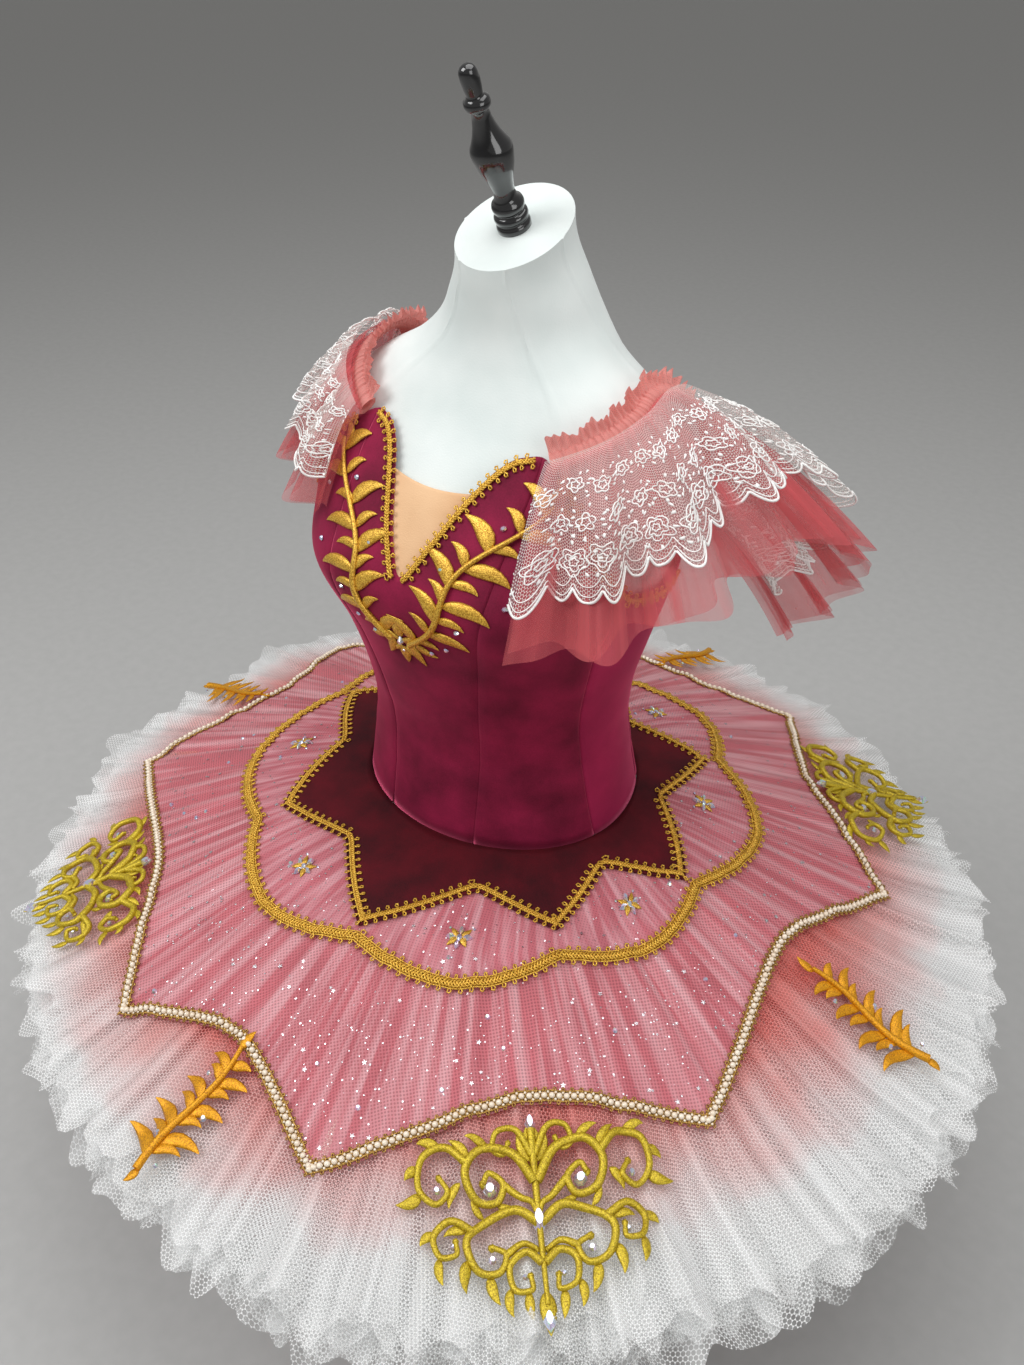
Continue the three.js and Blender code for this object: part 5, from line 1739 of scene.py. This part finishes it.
@dataclass
class Sleeve:
    """One off-the-shoulder sleeve: a frilled heading, a tulle flounce and a lace flounce over it.

    Turns and ups place the heading on the form. A row of net or lace is the fall at that place, across, front
    to back and up. Cuts are widths in metres.
    """

    body: Body
    findings: Findings
    side: int
    turns: tuple = (32, 50, 68, 88, 108, 122, 124, 119)
    ups: tuple = (268, 284, 296, 304, 297, 268, 228, 192)
    net: tuple = ((26, -88, -118), (66, -70, -116), (96, -34, -108), (116, 14, -104), (120, 56, -112),
                  (112, 78, -126), (90, 72, -128), (56, 54, -120))
    lace: tuple = ((20, -72, -88), (50, -52, -84), (72, -26, -72), (84, 12, -62), (90, 40, -62),
                   (88, 58, -72), (70, 54, -80), (44, 42, -80))
    right_spread: float = 0.42
    right_drop: float = 0.66
    start_lift: float = 11.0
    arch: float = 9.0
    scallops: int = 26
    tulle_cut: float = 0.6
    lace_cut: float = 0.45
    heading_cut: float = 0.08
    heading_end: float = 0.002
    lace_length: float = 330.0
    lace_fall: float = 95.0
    lace_lift: float = 4.0

    @property
    def letter(self) -> str:
        """The side's name."""
        return "left" if self.side > 0 else "right"

    def row(self, table: Sequence[float], t: Array) -> Array:
        """A column of the sleeve's table at a share along the heading."""
        return catmull(range(len(self.turns)), table, np.asarray(t) * (len(self.turns) - 1))

    def surface(self, falls: tuple, t: Array, share: Array, lift: float,
                folds: Callable[[Array], Array]) -> Array:
        """Points of a flounce, from the heading at share 0 to the hem at share 1."""
        spread = 1.0 if self.side > 0 else self.right_spread
        fall = np.stack([self.row([row[i] for row in falls], t) for i in range(3)], axis=-1)
        fall = fall * np.array([spread, (1 + spread) / 2, 1.0 if self.side > 0 else self.right_drop])
        out = fall.copy()
        out[:, 2] = 0
        out = unit(out)
        edge = self.body.point(self.row(self.turns, t), self.row(self.ups, t), self.start_lift)
        point = edge + out * (4 + lift) + fall * share[:, None]
        point[:, 2] += 4 * self.arch * share * (1 - share) + lift
        point += out * (folds(t) * share ** 0.75)[:, None]
        point[:, 0] *= self.side
        return point

    def lace_folds(self, t: Array) -> Array:
        """Folds of the lace flounce: uneven and soft."""
        wind = 2 * np.pi * (8 * t + 0.35 * np.sin(6.1 * t + self.side))
        return 12.0 * np.sin(wind) + 5.0 * np.sin(2.3 * wind + 1.0)

    def net_folds(self, t: Array) -> Array:
        """Folds of the tulle flounce: deeper and closer."""
        wind = 2 * np.pi * (9 * t + 0.4 * np.sin(5.3 * t + 2 * self.side))
        return 12.0 * np.sin(wind) + 5.5 * np.sin(1.7 * wind + 0.6)

    def hem(self, t: Array) -> Array:
        """The lace's scalloped hem as a share of its fall."""
        return 1.0 - 0.085 * (1 - np.abs(np.sin(np.pi * self.scallops * np.asarray(t)))) ** 1.3

    def build(self) -> None:
        """Makes the heading, both flounces and the embroidery."""
        coral = OpenNet(f"coral soft tulle {self.letter}", "#ea6f74", pitch_mm=1.8, weave=Weave.DIAMOND,
                        cover=-3.0, veil=0.34, streak_veil=0.28, streaks_each_m=(60.0, 4.0, 1.0),
                        by_cloth=True).make()
        parts = []
        for ply in range(2):
            def place(u: Array, v: Array, ply: int = ply) -> Array:
                ragged = 1.0 - 0.04 * ply + 0.012 * np.sin(53 * u + 3 * ply)
                return self.surface(self.net, u, v * ragged, -2.5 * ply,
                                    lambda t: self.net_folds(t + 0.015 * ply))

            parts.append(cloth_mesh("tulle", 300, 16, place, (0.62, 0.15)))
        tulle = new_object(f"tulle_flounce_{self.letter}", joined("tulle", parts), coral)
        attach(tulle, "sleeve_net", f"sleeve_net_{self.letter}")

        ground = OpenNet(f"white lace ground {self.letter}", "#f7f5f0", pitch_mm=2.0, cover=-0.8,
                         veil=0.05, streak_veil=0.06, by_cloth=True).make()
        lace = cloth_mesh("lace", 380, 18, lambda u, v: self.lace_point(u, v * self.hem(u)), (0.55, 0.1))
        flounce = new_object(f"lace_flounce_{self.letter}", lace, ground)
        attach(flounce, "lace", f"sleeve_lace_{self.letter}")
        stitched = self.embroidery()
        self.heading()

    def lace_point(self, t: Array, share: Array) -> Array:
        """Points of the lace, by its share along the heading and down the fall."""
        return self.surface(self.lace, t, share, self.lace_lift, self.lace_folds)

    def board(self, x: Array, y: Array, lift: Array) -> Array:
        """The lace as a drawing board: x is the share along it and y the share down, both times 1000."""
        t, share = np.asarray(x) / 1000.0, np.asarray(y) / 1000.0
        here = self.lace_point(t, share)
        normal = unit(np.cross(self.lace_point(t + 0.002, share) - here, self.lace_point(t, share + 0.01) - here))
        normal *= np.where(normal[:, 2:3] < 0, -1.0, 1.0)
        return here + normal * np.asarray(lift)[:, None]

    def embroidery(self) -> bpy.types.Object:
        """Satin-stitch flowers, sprigs and the corded scallops, sewn on the lace."""
        draws = random.Random(7 + self.side)
        sprigs, rings = [], []
        along_mm, down_mm = 1000 / self.lace_length, 1000 / self.lace_fall
        columns, edge = 21, 985
        for row, down in enumerate((300, 540, 770)):
            for column in range(columns):
                x = (column + 0.5 + 0.5 * (row % 2)) * 1000 / columns + draws.uniform(-6, 6)
                y = down + draws.uniform(-25, 25)
                if x > edge:
                    continue
                big = 7.6 if row == 2 else 5.6
                for ring in (1.0, 0.66, 0.3) if row == 2 else (1.0, 0.5):
                    rings.append((x, y, big * ring, draws.uniform(0, 1.2)))
                for sprig in range(8):
                    bearing = sprig * 0.8 + draws.uniform(-0.25, 0.25)
                    sprigs.append((x, y, bearing, big * draws.uniform(0.75, 1.3)))
        corners = corners_of(self.findings.petal)[None]
        x0, y0, bearing, out = columns_of(sprigs)
        along, across = corners[..., 0] * 1.5 + out * 1.5, corners[..., 1] * 0.9
        x = x0 + (along * np.cos(bearing) - across * np.sin(bearing)) * along_mm
        y = np.minimum(y0 + (along * np.sin(bearing) + across * np.cos(bearing)) * down_mm, edge)
        lift = np.broadcast_to((corners[..., 2] + 0.5) * 0.55, x.shape)
        parts = [copied("petals", self.findings.petal, self.board(x.ravel(), y.ravel(), lift.ravel()))]
        sweep = np.linspace(0, 2 * math.pi, 25, endpoint=False)
        paths = []
        for x, y, size, turn in rings:
            lobes = size * (0.6 + 0.4 * np.abs(np.cos(2.5 * (sweep - turn))))
            across = np.clip(x + lobes * np.cos(sweep) * along_mm, 1, 999)
            down = np.minimum(y + lobes * np.sin(sweep) * down_mm, edge)
            paths.append(self.board(across, down, np.full(len(sweep), 0.5)))
        parts.append(cord_mesh("flowers", paths, 0.62, closed=True, sides=0))
        t = np.linspace(0.001, 0.999, 520)
        for depth, radius in ((0.0, 1.1), (0.03, 0.5), (0.08, 0.5)):
            path = self.board(t * 1000, (self.hem(t) - depth) * 1000, np.full(len(t), 0.5))
            parts.append(cord_mesh("scallop", [path], radius, sides=0))
        thread = SolidCloth(f"white satin stitch {self.letter}", "#ffffff", "#eceae6", thread_mm=0.9, bump=0.5,
                            sheen=0.4)
        piece = new_object(f"lace_embroidery_{self.letter}", joined("embroidery", parts), thread.make())
        face_outwards(piece)
        return attach(piece, "lace")

    def heading_frame(self, u: Array, lift: float) -> tuple[Array, Array, Array, Array]:
        """Shares along the heading, and there the points, the directions across it and the outward ones."""
        t = self.heading_end + (1 - 2 * self.heading_end) * u
        turn, up = self.row(self.turns, t) * self.side, self.row(self.ups, t)
        ahead = self.body.point(self.row(self.turns, t + 0.004) * self.side, self.row(self.ups, t + 0.004), lift)
        here = self.body.point(turn, up, lift)
        normal = self.body.normal(turn, up)
        return t, here, unit(np.cross(normal, unit(ahead - here))), normal

    def heading(self) -> None:
        """The elastic heading in its gathered casing, with a narrow frill above it."""

        def ring(u: Array, v: Array) -> Array:
            t, here, side, normal = self.heading_frame(u, 6.6)
            pucker = (1 + 0.16 * np.sin(2 * np.pi * 58 * t + 1.4 * np.sin(23 * t))
                      + 0.08 * np.sin(2 * np.pi * 93 * t))
            angle = 2 * np.pi * v
            return (here + side * (8.2 * np.cos(angle) * pucker)[:, None]
                    + normal * (3.2 * np.sin(angle) * pucker)[:, None])

        def frill(u: Array, v: Array) -> Array:
            t, here, side, normal = self.heading_frame(u, 7.6)
            ruffle = np.sin(2 * np.pi * 44 * t + 1.1 * np.sin(17 * t)) * v
            width = 11.0 * (1 + 0.22 * np.sin(61 * t) + 0.1 * np.sin(149 * t))
            return (here + side * self.side * (5.5 + width * v)[:, None]
                    + normal * (3.8 * ruffle + 4.0 * v * v)[:, None])

        parts = [cloth_mesh("casing", 400, 8, ring, (0.5, 0.05), ring=True),
                 cloth_mesh("frill", 400, 5, frill, (0.5, 0.012))]
        finish = OpenNet(f"peach gathered tulle {self.letter}", "#ec9a92", pitch_mm=1.6, weave=Weave.DIAMOND,
                         cover=1.4, veil=0.72, by_cloth=True).make()
        piece = new_object(f"heading_frill_{self.letter}", joined("heading", parts), finish)
        attach(piece, "sleeve_net", f"sleeve_heading_{self.letter}")


def main() -> None:
    """Builds the tutu in the order that it is made."""
    logging.basicConfig(level=logging.INFO, format="%(name)s: %(message)s")
    Viewpoint().build()
    Studio().build()
    body = Body()
    shape = SkirtShape(body)
    bodice = Bodice(body)
    findings = Findings()
    makers = (DressForm(body), bodice, Skirt(shape), Braids(body, shape, bodice, Trimmer(findings)),
              Ornaments(body, shape, findings), Sequins(shape, findings), Sleeve(body, findings, 1),
              Sleeve(body, findings, -1))
    for maker in makers:
        maker.build()
        log.info("built the %s", type(maker).__name__)


if __name__ == "__main__":
    main()
